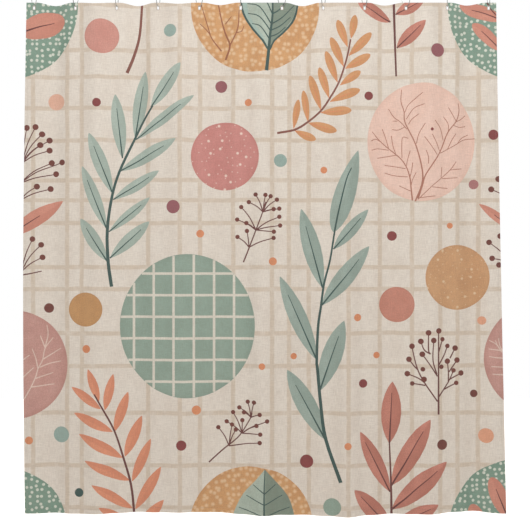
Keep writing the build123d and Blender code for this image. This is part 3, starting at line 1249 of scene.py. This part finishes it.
    def berry_sprigs(self) -> None:
        """Lay down the berry sprigs."""
        self.sprig(
            (-88.1, 59.0), 1.1, (-83.1, 45.8), (-80.8, 48.4), (-78.2, 50.6), (-81.4, 52.4),
            (-78.2, 54.3), (-86.3, 46.1),
        )
        self.sprig((-88.8, 66.4), 1.1, (-77.4, 58.9), (-73.5, 58.7), (-75.8, 63.0))
        self.sprig((-88.8, 72.7), 1.1, (-82.6, 67.7), (-77.8, 68.5))
        self.sprig((-88.4, 99.1), 1.03, (-84.2, 87.0), (-81.1, 89.1), (-80.6, 93.7))
        self.stem("plum_brown", *self.STALK_CM, (-88.8, 100.3), (-85.1, 99.7), (-80.9, 98.8))
        self.leaf("salmon_leaf", (-93.9, 86.3), (-73.1, 73.0), 5.89, "plum_brown", 0.6)
        self.leaf("salmon_leaf", (93.7, 84.1), (80.3, 74.0), 3.5, "plum_brown", 0.6)
        self.sprig((90.7, 72.3), 1.1, (87.2, 64.9), (84.6, 68.7))
        self.sprig((91.1, 95.5), 1.03, (83.8, 88.2), (87.8, 85.9), (84.9, 94.1), (87.4, 96.5))
        self.sprig(
            (0.6, 77.1), 0.81, (-2.1, 70.7), (1.5, 70.9), (3.4, 71.3), (5.7, 72.5), (-4.6, 73.4),
            (4.5, 76.0), (6.6, 75.8),
        )
        self.sprig(
            (-2.0, 83.7), 0.81, (-7.4, 75.2), (6.6, 78.8), (6.9, 82.0), (-8.9, 79.8), (-5.5, 81.1),
            (4.6, 84.3),
        )
        self.sprig((-4.5, 90.0), 0.81, (-5.3, 84.0), (-8.8, 86.2), (4.5, 86.6))
        self.stem(
            "plum_brown", *self.STALK_CM,
            (-6.6, 95.5), (-4.4, 90.0), (-1.4, 82.2), (0.4, 77.4), (1.6, 73.4),
        )
        self.sprig(
            (-3.8, 152.5), 0.81, (-5.0, 146.8), (-2.7, 147.0), (-8.1, 148.9), (-0.6, 151.4),
            (-6.4, 150.7),
        )
        self.sprig(
            (-7.1, 158.4), 0.81, (-10.4, 150.7), (-7.0, 153.6), (2.1, 153.8), (-12.8, 154.2),
            (-1.8, 155.5), (-0.4, 158.6),
        )
        self.sprig((-11.9, 163.2), 0.81, (-15.9, 156.4), (-10.8, 155.3), (-9.4, 157.1), (-0.6, 161.7))
        self.stem(
            "plum_brown", *self.STALK_CM,
            (-19.3, 169.1), (-14.2, 164.6), (-10.4, 161.5), (-7.4, 158.4), (-4.0, 152.8), (-3.4, 150.8),
        )
        self.stems(
            "plum_brown", *self.STALK_CM,
            ((64.6, 146.6), (59.8, 139.6), (57.3, 134.5), (55.8, 128.6), (55.4, 126.4)),
            ((64.6, 137.4), (62.0, 133.4), (59.1, 129.3)),
            ((64.4, 136.7), (62.9, 131.4), (63.2, 124.2)),
            ((62.0, 129.2), (61.3, 127.7), (61.3, 121.4)),
            ((62.0, 129.2), (59.8, 127.7), (58.6, 124.6)),
            ((59.8, 139.6), (57.6, 138.1), (53.7, 136.5)),
            ((60.2, 140.7), (58.0, 140.4), (55.5, 140.1)),
            ((57.6, 135.1), (56.2, 133.7), (54.3, 131.2)),
            ((65.0, 145.1), (68.8, 139.5), (70.7, 135.3)),
            ((68.8, 139.5), (68.8, 135.9), (68.4, 131.9)),
            ((67.2, 142.2), (71.7, 139.9)),
            ((69.4, 138.5), (73.5, 136.3)),
            ((65.0, 133.4), (67.2, 129.5), (68.4, 126.3)),
            ((69.4, 130.8), (71.3, 127.1)),
            ((65.0, 128.6), (66.5, 123.8)),
            ((69.0, 135.9), (72.0, 131.5)),
        )
        self.stem("plum_brown", 0.74, 0.44, (65.0, 151.4), (65.0, 140.0), (65.0, 120.9))
        self.berries(
            1.03,
            (61.3, 121.4), (65.1, 120.7), (63.2, 124.2), (58.6, 124.6), (55.4, 126.4), (59.1, 129.3),
            (54.3, 131.2), (71.3, 127.1), (72.0, 131.5), (68.4, 131.9), (73.5, 136.3), (53.7, 136.5),
            (59.7, 138.5),
        )
        self.berries(
            0.85,
            (66.5, 123.8), (68.4, 126.3), (70.7, 135.3), (66.1, 133.9), (71.7, 139.9), (55.5, 140.1),
            (59.3, 134.8),
        )


# ---------------------------------------------------------------- the sewn cloth


@dataclass(frozen=True)
class Section:
    """The part of the cloth that bends at one crease, between two bodies."""

    name: str
    start: float
    end: float
    before: str
    after: str
    crease: float
    reach: float
    stands_for: tuple[str, ...]


@dataclass
class FaceBatch:
    """Faces gathered for one mesh, with a finish and UVs for each."""

    points: list[np.ndarray] = field(default_factory=list)
    facing: list[np.ndarray] = field(default_factory=list)
    faces: list[np.ndarray] = field(default_factory=list)
    finishes: list[np.ndarray] = field(default_factory=list)
    maps: dict[str, list[np.ndarray]] = field(default_factory=dict)
    count: int = 0

    def add(
        self,
        points: np.ndarray,
        facing: np.ndarray,
        faces: np.ndarray,
        finishes: np.ndarray,
        maps: dict[str, np.ndarray],
    ) -> None:
        """Add some triangles.

        Args:
            points: Their points.
            facing: Which way the surface faces at each point.
            faces: Three point numbers for each triangle.
            finishes: A finish number for each triangle.
            maps: For each UV map, three UVs for each triangle.
        """
        self.points.append(points)
        self.facing.append(facing)
        self.faces.append(faces + self.count)
        self.finishes.append(finishes)
        for name, values in maps.items():
            self.maps.setdefault(name, []).append(values)
        self.count += len(points)

    def mesh(self, name: str, materials: Sequence[bpy.types.Material]) -> bpy.types.Object:
        """Make the object.

        Args:
            name: The piece's name.
            materials: The finish of each number.

        Returns:
            The new object, with only the finishes that it uses.
        """
        points = np.vstack(self.points)
        faces = np.vstack(self.faces)
        finishes = np.concatenate(self.finishes)
        used, numbers = np.unique(finishes, return_inverse=True)
        mesh = bpy.data.meshes.new(name)
        mesh.from_pydata(points.tolist(), [], faces.tolist())
        for index in used:
            mesh.materials.append(materials[index])
        mesh.polygons.foreach_set("material_index", numbers.astype(np.int32))
        mesh.polygons.foreach_set("use_smooth", np.ones(len(faces), bool))
        for layer, values in self.maps.items():
            flat = np.concatenate(values).reshape(-1).astype(np.float32)
            mesh.uv_layers.new(name=layer, do_init=False).data.foreach_set("uv", flat)
        mesh.update()
        mesh.normals_split_custom_set_from_vertices(np.vstack(self.facing).tolist())
        made = bpy.data.objects.new(name, mesh)
        bpy.context.scene.collection.objects.link(made)
        return made


@dataclass
class Curtain:
    """The printed cloth with its hems, cut into sections at its creases."""

    hang: Hang
    art: Artwork
    thickness: float = 0.0005
    hem_extra: float = 0.0006
    header: float = 0.031
    bottom_hem: float = 0.020
    side_hem: float = 0.012
    hem_step: float = 0.0016
    grid: float = 0.0115
    row: float = 0.0125
    stitch_pitch: float = 0.0048
    stitch_length: float = 0.0034
    stitch_half: float = 0.00026
    stitch_inset: float = 0.0022
    stitch_start: float = 0.004
    edge_row: float = 0.008
    top_row: float = 0.006
    header_row: float = 0.009
    slices: int = 4
    gutter: float = 0.008
    rim_band: float = 0.004
    rim_band_at: float = 4.6
    ring_reach: float = 0.0062
    fold_reach: float = 0.021
    ring_edge_shift: float = 0.0065

    SAME_PLACE = 1e-6
    SMALLEST_AREA = 1e-10

    def __post_init__(self) -> None:
        """Mix the finishes and number them."""
        self.materials = [ink.material() for ink in INKS.values()] + [SewingThread().material()]
        self.number = {name: index for index, name in enumerate(INKS)}
        self.thread = len(INKS)
        self.sections = self.cut_sections()
        self.column = max(s.end - s.start for s in self.sections) + self.gutter
        self.slice_height = self.hang.drop / self.slices
        self.sheet_size = max(2 * self.slices * self.column, self.slice_height + 6 * self.gutter)

    def cut_sections(self) -> list[Section]:
        """Share the cloth out between its creases.

        Returns:
            The sections from left to right.
        """
        bodies, lows, highs, nodes = [], [], [], []
        for ring in RINGS:
            chain = [(f"panel_at_ring_{ring:02d}", f"cloth_at_ring_{ring:02d}")]
            if ring < RING_COUNT:
                halves = [f"fold_{ring:02d}_{side}" for side in ("left", "right")]
                chain += [(half, f"cloth_{half}") for half in halves]
            for body, node in chain:
                low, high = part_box(node)
                bodies.append(body)
                nodes.append(node)
                lows.append(low.x)
                highs.append(high.x)
        creases = [(high + low) / 2 for high, low in zip(highs, lows[1:])]
        edges = [self.hang.left]
        for low, high in zip(creases, creases[1:]):
            edges.append((low + high) / 2)
        for index, body in enumerate(bodies[1:-1], 1):
            if body.startswith("panel"):
                edges[index] = (creases[index - 1] + creases[index]) / 2 + self.ring_edge_shift
        edges.append(self.hang.right)
        sections = []
        for index, crease in enumerate(creases):
            stands = (nodes[index],) if index < len(creases) - 1 else (nodes[index], nodes[index + 1])
            before, after = bodies[index : index + 2]
            start, end = edges[index : index + 2]
            reach = self.ring_reach if "panel" in before + after else self.fold_reach
            name = f"curtain_section_{index + 1:02d}"
            sections.append(Section(name, start, end, before, after, crease, reach, stands))
        return sections

    def across_lines(self) -> np.ndarray:
        """List the places across the cloth where the mesh has a column of points.

        Returns:
            The places, rising.
        """
        lines = []
        for section in self.sections:
            count = max(3, math.ceil((section.end - section.start) / self.grid))
            lines.append(np.linspace(section.start, section.end, count + 1)[:-1])
        extra = [self.hang.left + self.side_hem + shift for shift in (0, self.hem_step)]
        extra += [self.hang.right - self.side_hem - shift for shift in (0, self.hem_step)]
        return np.unique(np.round(np.concatenate(lines + [extra, [self.hang.right]]), 6))

    def down_lines(self) -> np.ndarray:
        """List the places down the cloth where the mesh has a row of points.

        Returns:
            The places, rising.
        """
        hem = self.hem_rows()[-1]
        above = [0.0, self.top_row, self.header - self.header_row, self.header, self.header + self.hem_step]
        below = [hem - self.hem_step, hem, self.hang.drop - self.edge_row, self.hang.drop]
        count = round((hem - self.header) / self.row)
        rows = np.linspace(self.header + self.edge_row, hem - self.edge_row, count)
        return np.concatenate([above, rows, below])

    def buttonholes(self) -> list[np.ndarray]:
        """Outline the twelve buttonholes on the flat cloth."""
        outlines = [Buttonhole(ring).outline(0.0) for ring in RINGS]
        return [np.stack([outline[:, 0], self.hang.top - outline[:, 1]], axis=1) for outline in outlines]

    def flat_mesh(self) -> tuple[np.ndarray, np.ndarray, np.ndarray]:
        """Divide the flat cloth into triangles that follow every printed outline.

        Returns:
            The points, the triangles, and for each triangle the number of the shape on top, or -1.
        """
        columns, rows = self.across_lines(), self.down_lines()
        points = [(x, y) for x in columns for y in rows]
        high = len(rows)
        edges = [(i * high + j, i * high + j + 1) for i in range(len(columns)) for j in range(high - 1)]
        edges = [pair for pair in edges if self.is_seam(columns[pair[0] // high])]
        for j, down in enumerate(rows):
            if j in (0, high - 1) or min(abs(down - seam) for seam in self.hem_rows()) < self.SAME_PLACE:
                edges += [(i * high + j, (i + 1) * high + j) for i in range(len(columns) - 1)]
        outlines = [self.hang.cloth_at(shape.outline) for shape in self.art.shapes]
        outlines += self.buttonholes()
        faces = []
        for outline in outlines:
            x, y = outline.T
            turns_left = np.sum(x * np.roll(y, -1) - y * np.roll(x, -1)) > 0
            order = list(range(len(points), len(points) + len(outline)))
            faces.append(order if turns_left else order[::-1])
            points += [tuple(p) for p in outline]
        found = delaunay_2d_cdt([Vector(p) for p in points], edges, faces, 0, self.SAME_PLACE, True)
        places = np.array([tuple(p) for p in found[0]])
        triangles = np.array(found[2])
        top = np.array([max(owners, default=-1) for owners in found[5]])
        a, b, c = (places[triangles[:, k]] for k in range(3))
        middle = (a + b + c) / 3
        area = np.abs((b - a)[:, 0] * (c - a)[:, 1] - (b - a)[:, 1] * (c - a)[:, 0])
        inside = (middle[:, 0] > self.hang.left) & (middle[:, 0] < self.hang.right)
        inside &= (middle[:, 1] > 0) & (middle[:, 1] < self.hang.drop)
        keep = inside & (top < len(self.art.shapes)) & (area > self.SMALLEST_AREA)
        return places, triangles[keep], top[keep]

    def hem_rows(self) -> tuple[float, ...]:
        """Where the hems' inner edges run across the cloth."""
        hem = self.hang.drop - self.bottom_hem
        return (self.header, self.header + self.hem_step, hem - self.hem_step, hem)

    def is_seam(self, across: float) -> bool:
        """Whether a column of points is a border between sections, a side hem or a side edge.

        Args:
            across: The column's place across the cloth.

        Returns:
            True for such a column.
        """
        seams = [s.start for s in self.sections] + [self.hang.right]
        for shift in (self.side_hem, self.side_hem + self.hem_step):
            seams += [self.hang.left + shift, self.hang.right - shift]
        return min(abs(across - seam) for seam in seams) < 2 * self.SAME_PLACE

    def hem(self, across: np.ndarray, drop: np.ndarray) -> np.ndarray:
        """How much of a hem's extra layers lies behind each point, 0 to 1.

        Args:
            across: Places across the cloth.
            drop: Distances below the top hem.

        Returns:
            One share for each point.
        """
        half = self.hem_step
        top = 1 - smooth(drop, self.header, self.header + half)
        bottom = smooth(drop, self.hang.drop - self.bottom_hem - half, self.hang.drop - self.bottom_hem)
        left = 1 - smooth(across, self.hang.left + self.side_hem, self.hang.left + self.side_hem + half)
        right = smooth(across, self.hang.right - self.side_hem - half, self.hang.right - self.side_hem)
        return np.maximum.reduce([top, bottom, left, right])

    def build(self) -> list[bpy.types.Object]:
        """Build every section of the curtain.

        Returns:
            The sections from left to right.
        """
        places, triangles, top = self.flat_mesh()
        printed = self.hang.printed_at(places[:, 0], places[:, 1])
        own = np.zeros((len(triangles), 3, 2))
        ink = np.full(len(triangles), self.number["ground"])
        for index in np.unique(top[top >= 0]):
            rows = np.where(top == index)[0]
            shape = self.art.shapes[index]
            ink[rows] = self.number[shape.ink]
            own[rows] = shape.own_place(printed[triangles[rows].reshape(-1)]).reshape(-1, 3, 2)
        middle = places[triangles].mean(axis=1)
        made = []
        for section in self.sections:
            rows = np.where((middle[:, 0] > section.start) & (middle[:, 0] < section.end))[0]
            made.append(self.build_section(section, places, triangles[rows], ink[rows], own[rows], printed))
        for index, (piece, section) in enumerate(zip(made, self.sections)):
            ring = min(index // 3 + 1, RING_COUNT)
            width = (section.end - section.start) * FLAT_WIDTH / (self.hang.right - self.hang.left)
            rests = [f"ring_{ring:02d}"] if index % 3 == 0 else [made[index - 1].name]
            log.info("%s bends between %s and %s", piece.name, section.before, section.after)
        return made

    def build_section(
        self,
        section: Section,
        places: np.ndarray,
        triangles: np.ndarray,
        ink: np.ndarray,
        own: np.ndarray,
        printed: np.ndarray,
    ) -> bpy.types.Object:
        """Build one section, front, back, edges and stitches.

        Args:
            section: Which section.
            places: All the flat cloth's points.
            triangles: The section's triangles.
            ink: The ink of each.
            own: Each corner's place in its printed shape.
            printed: Each point's place in the print.

        Returns:
            The new piece.
        """
        used, local = np.unique(triangles, return_inverse=True)
        local = local.reshape(-1, 3)
        across, drop = places[used].T
        normals = self.hang.normals(across, drop)
        front = self.hang.place(across, drop, self.thickness / 2)
        back = self.hang.place(across, drop, -self.thickness / 2 - self.hem_extra * self.hem(across, drop))
        cloth = (printed[used] * CM)[local]
        batch = FaceBatch()
        orders = (("front", front, normals, local[:, ::-1]), ("back", back, -normals, local))
        for side, (name, points, facing, faces) in enumerate(orders):
            flip = slice(None, None, -1) if name == "front" else slice(None)
            maps = {
                "cloth": cloth[:, flip],
                "motif": own[:, flip],
                "side": np.full((len(faces), 3, 2), float(side)),
                "OFBake": self.baked(places[used], faces, section, side),
            }
            batch.add(points, facing, faces, ink, maps)
        self.add_rim(batch, local, len(used), places[used], cloth)
        self.add_stitches(batch, section)
        piece = batch.mesh(section.name, self.materials)
        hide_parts(*section.stands_for)
        lean = self.hang.flare(section.crease) / self.hang.drop
        out = Vector((1.0, 0.0, lean)).normalized() * section.reach
        hinge = Vector((section.crease, 0.0, self.hang.top))
        tuple(hinge - out)
        tuple(hinge + out)
        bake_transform(piece)
        return piece

    def baked(self, places: np.ndarray, faces: np.ndarray, section: Section, side: int) -> np.ndarray:
        """Lay one side of a section out in slices, side by side, for its textures.

        Args:
            places: The section's flat points.
            faces: Its triangles.
            section: Which section.
            side: 0 for the front and 1 for the back.

        Returns:
            Three UVs for each triangle.
        """
        corners = places[faces]
        slot = np.clip(corners[:, :, 1].mean(axis=1) / self.slice_height, 0, self.slices - 1).astype(int)
        left = (slot + side * self.slices) * self.column + self.gutter / 2
        u = corners[:, :, 0] - section.start + left[:, None]
        v = corners[:, :, 1] - (slot * self.slice_height)[:, None] + 2 * self.gutter
        return np.stack([u, v], axis=2) / self.sheet_size

    def add_rim(
        self,
        batch: FaceBatch,
        local: np.ndarray,
        count: int,
        places: np.ndarray,
        cloth: np.ndarray,
    ) -> None:
        """Close the edges between the printed side and the back.

        Args:
            batch: The section's faces so far, with the front's points first.
            local: The section's triangles.
            count: How many points a side has.
            places: Those points on the flat cloth.
            cloth: Each corner's place in the print, in metres.
        """
        sides = np.concatenate([local[:, [0, 1]], local[:, [1, 2]], local[:, [2, 0]]])
        spots = np.concatenate([cloth[:, 0], cloth[:, 1], cloth[:, 2]])
        key = np.sort(sides, axis=1)
        _, first, uses = np.unique(key, axis=0, return_index=True, return_counts=True)
        edge = sides[first[uses == 1]]
        spot = spots[first[uses == 1]]
        a, b = edge[:, 0], edge[:, 1]
        faces = np.concatenate([np.stack([a, b, b + count], 1), np.stack([a, b + count, a + count], 1)])
        # The rim's texture is one narrow band above the slices of the two sides.
        share = (places[:, 1] / self.hang.drop * 0.5 + (places[:, 0] - places[:, 0].min()) * 2) * 0.9
        band = (self.slice_height + self.rim_band_at * self.gutter) / self.sheet_size
        high = np.concatenate([np.full(count, band), np.full(count, band + self.rim_band)])
        laid = np.stack([np.concatenate([share, share]), high], axis=1)[faces]
        batch.faces.append(faces)
        batch.finishes.append(np.full(len(faces), self.number["ground"]))
        batch.maps["cloth"].append(np.repeat(np.concatenate([spot, spot])[:, None], 3, axis=1))
        batch.maps["motif"].append(np.zeros((len(faces), 3, 2)))
        batch.maps["side"].append(np.zeros((len(faces), 3, 2)))
        batch.maps["OFBake"].append(laid)

    def add_stitches(self, batch: FaceBatch, section: Section) -> None:
        """Sew the hems of a section, on both sides of the cloth.

        Args:
            batch: The section's faces so far.
            section: Which section.
        """
        inset = self.stitch_inset
        hem = self.hang.drop - self.bottom_hem
        runs = []
        first = math.ceil((section.start - self.hang.left) / self.stitch_pitch)
        last = math.floor((section.end - self.hang.left) / self.stitch_pitch)
        x = self.hang.left + np.arange(first, last + 1) * self.stitch_pitch
        x = x[(x > self.hang.left + inset) & (x < self.hang.right - inset)]
        for down in (self.header - inset, hem + inset):
            runs.append((x, np.full(len(x), down), (1.0, 0.0)))
        y = np.arange(self.header + self.stitch_start, hem, self.stitch_pitch)
        for edge in (self.hang.left + self.side_hem - inset, self.hang.right - self.side_hem + inset):
            if section.start < edge < section.end:
                runs.append((np.full(len(y), edge), y, (0.0, 1.0)))
        for across, down, way in runs:
            for side in (1.0, -1.0):
                self.add_run(batch, across, down, way, side)

    def add_run(
        self,
        batch: FaceBatch,
        across: np.ndarray,
        down: np.ndarray,
        way: Point,
        side: float,
    ) -> None:
        """Add one run of stitches on one side.

        Args:
            batch: The section's faces so far.
            across: The stitches' middles across the cloth.
            down: The stitches' middles down the cloth.
            way: The run's direction on the flat cloth.
            side: 1 for the printed side and -1 for the back.
        """
        half = self.stitch_half
        along = np.array([-0.5] + 4 * [-0.36] + 4 * [0.36] + [0.5]) * self.stitch_length
        wide = np.array([0, -1, 0, 1, 0, -1, 0, 1, 0, 0]) * half
        high = np.array([-0.4, 0.1, 1.1, 0.1, -0.9, 0.1, 1.1, 0.1, -0.9, -0.4]) * half
        turns = [(k, (k + 1) % 4) for k in range(4)]
        ring = [(0, 1 + k, 1 + after) for k, after in turns]
        ring += [(1 + k, 5 + k, 5 + after) for k, after in turns]
        ring += [(1 + k, 5 + after, 1 + after) for k, after in turns]
        ring += [(9, 5 + after, 5 + k) for k, after in turns]
        pattern = np.array(ring)
        if side * (way[0] - way[1]) < 0:
            pattern = pattern[:, ::-1]
        count = len(across)
        x = (across[:, None] + along * way[0] + wide * way[1]).reshape(-1)
        y = (down[:, None] + along * way[1] + wide * way[0]).reshape(-1)
        layer = self.thickness / 2 + (self.hem_extra * self.hem(x, y) if side < 0 else 0)
        lift = side * (layer + np.tile(high, count))
        points = self.hang.place(x, y, lift)
        middle = np.repeat(points.reshape(count, 10, 3).mean(axis=1), 10, axis=0)
        facing = points - middle
        facing /= np.linalg.norm(facing, axis=1, keepdims=True)
        faces = (pattern[None] + (np.arange(count) * 10)[:, None, None]).reshape(-1, 3)
        twist = np.array([0, 0, 0.25, 0.5, 0.75, 0, 0.25, 0.5, 0.75, 0])
        local = np.stack([along / self.stitch_length + 0.5, twist], axis=1)
        motif = np.tile(local[pattern], (count, 1, 1))
        # All stitches share one small patch in the texture's top corner.
        corner = np.array([0.2, self.sheet_size / self.gutter - 1.4]) * self.gutter / self.sheet_size
        maps = {
            "cloth": np.zeros((len(faces), 3, 2)),
            "motif": motif,
            "side": np.zeros((len(faces), 3, 2)),
            "OFBake": corner + motif * self.gutter / self.sheet_size,
        }
        batch.add(points, facing, faces, np.full(len(faces), self.thread), maps)


@dataclass
class Buttonhole:
    """One buttonhole, bound with close stitches."""

    ring: int
    reach: float = 0.0022
    corner: float = 0.0012
    threads: int = 76
    bulge: float = 0.00013
    sides: int = 10
    tuck: float = 0.0002
    margin: float = 0.0001
    roundness: float = 0.7
    uv_per_thread: float = 0.15

    def __post_init__(self) -> None:
        """Read where it is from the frame."""
        self.low, self.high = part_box(f"buttonhole_{self.ring:02d}")

    def outline(self, out: float, count: int = 0) -> np.ndarray:
        """Run round the hole at some distance outside its edge.

        Args:
            out: How far outside the edge.
            count: How many points, or 0 for only those that the shape needs.

        Returns:
            Points of X and Z.
        """
        half_x = (self.high.x - self.low.x) / 2 - self.reach - self.corner
        half_z = (self.high.z - self.low.z) / 2 - self.reach - self.corner
        middle_x, middle_z = (self.high.x + self.low.x) / 2, (self.high.z + self.low.z) / 2
        radius = self.corner + out
        points = []
        for quarter, (side_x, side_z) in enumerate(((1, 1), (-1, 1), (-1, -1), (1, -1))):
            for step in range(4):
                turn = (quarter + step / 3) * math.pi / 2
                x = middle_x + side_x * half_x + radius * math.cos(turn)
                z = middle_z + side_z * half_z + radius * math.sin(turn)
                points.append((x, z))
        points = np.array(points)
        if not count:
            return points
        closed = np.vstack([points, points[:1]])
        run = np.concatenate([[0], np.cumsum(np.linalg.norm(np.diff(closed, axis=0), axis=1))])
        at = np.arange(count) / count * run[-1]
        return np.stack([np.interp(at, run, closed[:, k]) for k in range(2)], axis=1)

    def build(self, material: bpy.types.Material) -> bpy.types.Object:
        """Build the binding.

        Args:
            material: The thread's finish.

        Returns:
            The new piece.
        """
        count = self.threads * 2
        inner = self.outline(-self.tuck, count)
        outer = self.outline(self.reach - self.margin, count)
        depth = (self.high.y - self.low.y) / 2 - self.bulge
        middle_y = (self.high.y + self.low.y) / 2
        turn = np.arange(self.sides) * 2 * math.pi / self.sides
        ridge = np.where(np.arange(count) % 2 == 0, self.bulge, 0.0)[:, None]
        share = (0.5 - 0.5 * np.cos(turn))[None, :]
        flat = inner[:, None, :] + (outer - inner)[:, None, :] * share[:, :, None]
        swell = np.abs(np.sin(turn)) ** self.roundness * np.sign(np.sin(turn))
        lift = swell[None, :] * (depth + ridge)
        points = np.stack([flat[:, :, 0], middle_y + lift, flat[:, :, 1]], axis=2).reshape(-1, 3)
        index = np.arange(count * self.sides).reshape(count, self.sides)
        ahead, beside = np.roll(index, -1, 0), np.roll(index, -1, 1)
        both = np.roll(ahead, -1, 1)
        faces = np.stack([index, beside, both, ahead], axis=2).reshape(-1, 4)
        mesh = bpy.data.meshes.new(f"buttonhole_binding_{self.ring:02d}")
        mesh.from_pydata(points.tolist(), [], faces.tolist())
        mesh.polygons.foreach_set("use_smooth", np.ones(len(faces), bool))
        along = np.repeat(np.arange(count), self.sides) / 2
        around = np.tile(np.arange(self.sides), count) / self.sides
        uv = np.stack([around, along * self.uv_per_thread], axis=1)[faces]
        mesh.uv_layers.new(name="motif").data.foreach_set("uv", uv.reshape(-1).astype(np.float32))
        mesh.materials.append(material)
        mesh.update()
        piece = bpy.data.objects.new(mesh.name, mesh)
        bpy.context.scene.collection.objects.link(piece)
        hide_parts(f"buttonhole_{self.ring:02d}")
        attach(piece, f"panel_at_ring_{self.ring:02d}")
        log.info("%s has %d threads", piece.name, self.threads)
        return piece


@dataclass
class RingSet:
    """The twelve wire rings, whose shapes are the frame's own."""

    finish: PlatedWire = PlatedWire()

    def dress(self) -> None:
        """Give every ring its plated finish."""
        material = self.finish.material()
        for ring in RINGS:
            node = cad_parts[f"ring_{ring:02d}"]
            for slot in node.material_slots:
                slot.material = material
            log.info("%s is plated wire", node.name)


@dataclass
class Studio:
    """The camera, the light and the floor."""

    distance: float = 4.0
    field_wide: float = 1.950
    aim: tuple[float, float, float] = (0.0134, 0.0, -1.002)
    floor_gap: float = 0.32
    floor_half: float = 6.0
    floor_glow: float = 0.7
    glow_from_to: tuple[float, float] = (0.3, 0.9)
    sensor_mm: float = 36.0
    front_strength: float = 0.52
    key_place: tuple[float, float, float] = (0.15, -2.8, 1.2)
    key_size: float = 1.8
    key_watts: float = 55.0
    key_aim_above: float = 0.6

    def place_camera(self) -> None:
        """Stand the camera square in front of the curtain."""
        data = bpy.data.cameras.new("camera")
        data.sensor_width = self.sensor_mm
        data.lens = self.sensor_mm * self.distance / self.field_wide
        data.clip_end = 100
        camera = bpy.data.objects.new("camera", data)
        camera.location = (self.aim[0], -self.distance, self.aim[2])
        camera.rotation_euler = (math.pi / 2, 0, 0)
        bpy.context.scene.collection.objects.link(camera)
        bpy.context.scene.camera = camera

    def light(self) -> None:
        """Light the curtain with a soft white room and one broad lamp above the camera."""
        bpy.context.scene.view_settings.view_transform = "Standard"
        bench = Bench(bpy.data.worlds.new("room"))
        way = bench.node("ShaderNodeTexCoord", {}, {}, "Generated")
        _, towards_back = bench.apart(way)
        strength = self.front_strength + (1 - self.front_strength) * towards_back.rise(-0.30, 0.12)
        glow = bench.node("ShaderNodeBackground", {}, {"Color": (1, 1, 1, 1), "Strength": strength})
        bench.node("ShaderNodeOutputWorld", {}, {"Surface": glow})
        bpy.context.scene.world = bench.owner
        self.hang_key_lamp()

    def hang_key_lamp(self) -> None:
        """Aim one broad soft lamp at the curtain."""
        data = bpy.data.lights.new("key", "AREA")
        data.size = self.key_size
        data.energy = self.key_watts
        lamp = bpy.data.objects.new("key", data)
        lamp.location = self.key_place
        aim = Vector(self.aim) + Vector((0, 0, self.key_aim_above)) - Vector(self.key_place)
        lamp.rotation_euler = aim.to_track_quat("-Z", "Y").to_euler()
        bpy.context.scene.collection.objects.link(lamp)

    def lay_floor(self) -> None:
        """Lay a plain pale floor below the curtain."""
        bench = Bench(bpy.data.materials.new("floor"))
        place = bench.node("ShaderNodeTexCoord", {}, {}, "Object")
        grain = bench.node("ShaderNodeTexNoise", {}, {"Vector": place, "Scale": 30.0}, 0)
        colour = bench.mix((0.78, 0.73, 0.68, 1), (0.80, 0.75, 0.70, 1), grain)
        _, back = bench.apart(place)
        glow = bench.mix((0, 0, 0, 1), (1, 1, 1, 1), back.rise(*self.glow_from_to))
        material = bench.surface(
            colour, 0.9, grain, 0.0001, Emission_Color=glow, Emission_Strength=self.floor_glow
        )
        half = self.floor_half
        z = CAD_BOX[0][2] - self.floor_gap
        corners = [(-half, -half, z), (half, -half, z), (half, half, z), (-half, half, z)]
        mesh = bpy.data.meshes.new("floor")
        mesh.from_pydata(corners, [], [(0, 1, 2, 3)])
        mesh.materials.append(material)
        floor = bpy.data.objects.new("floor", mesh)
        bpy.context.scene.collection.objects.link(floor)


def main() -> None:
    """Build the studio, the curtain, its buttonholes and its rings."""
    logging.basicConfig(level=logging.INFO, format="%(name)s: %(message)s")
    studio = Studio()
    studio.place_camera()
    lows, highs = zip(*(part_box(f"cloth_at_ring_{ring:02d}") for ring in RINGS))
    eyes = [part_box(f"buttonhole_{ring:02d}") for ring in RINGS]
    hang = Hang(
        left=min(low.x for low in lows),
        right=max(high.x for high in highs),
        top=highs[0].z,
        drop=highs[0].z - lows[0].z,
        ring_x=tuple((low.x + high.x) / 2 for low, high in eyes),
    )
    curtain = Curtain(hang, Botanical())
    curtain.build()
    # The binding thread's darker colour is painted shade in the grooves of its twist.
    binding = SewingThread("binding_thread", (204, 194, 180), (172, 160, 146)).material()
    for ring in RINGS:
        Buttonhole(ring).build(binding)
    RingSet().dress()
    studio.light()
    studio.lay_floor()


if __name__ == "__main__":
    main()
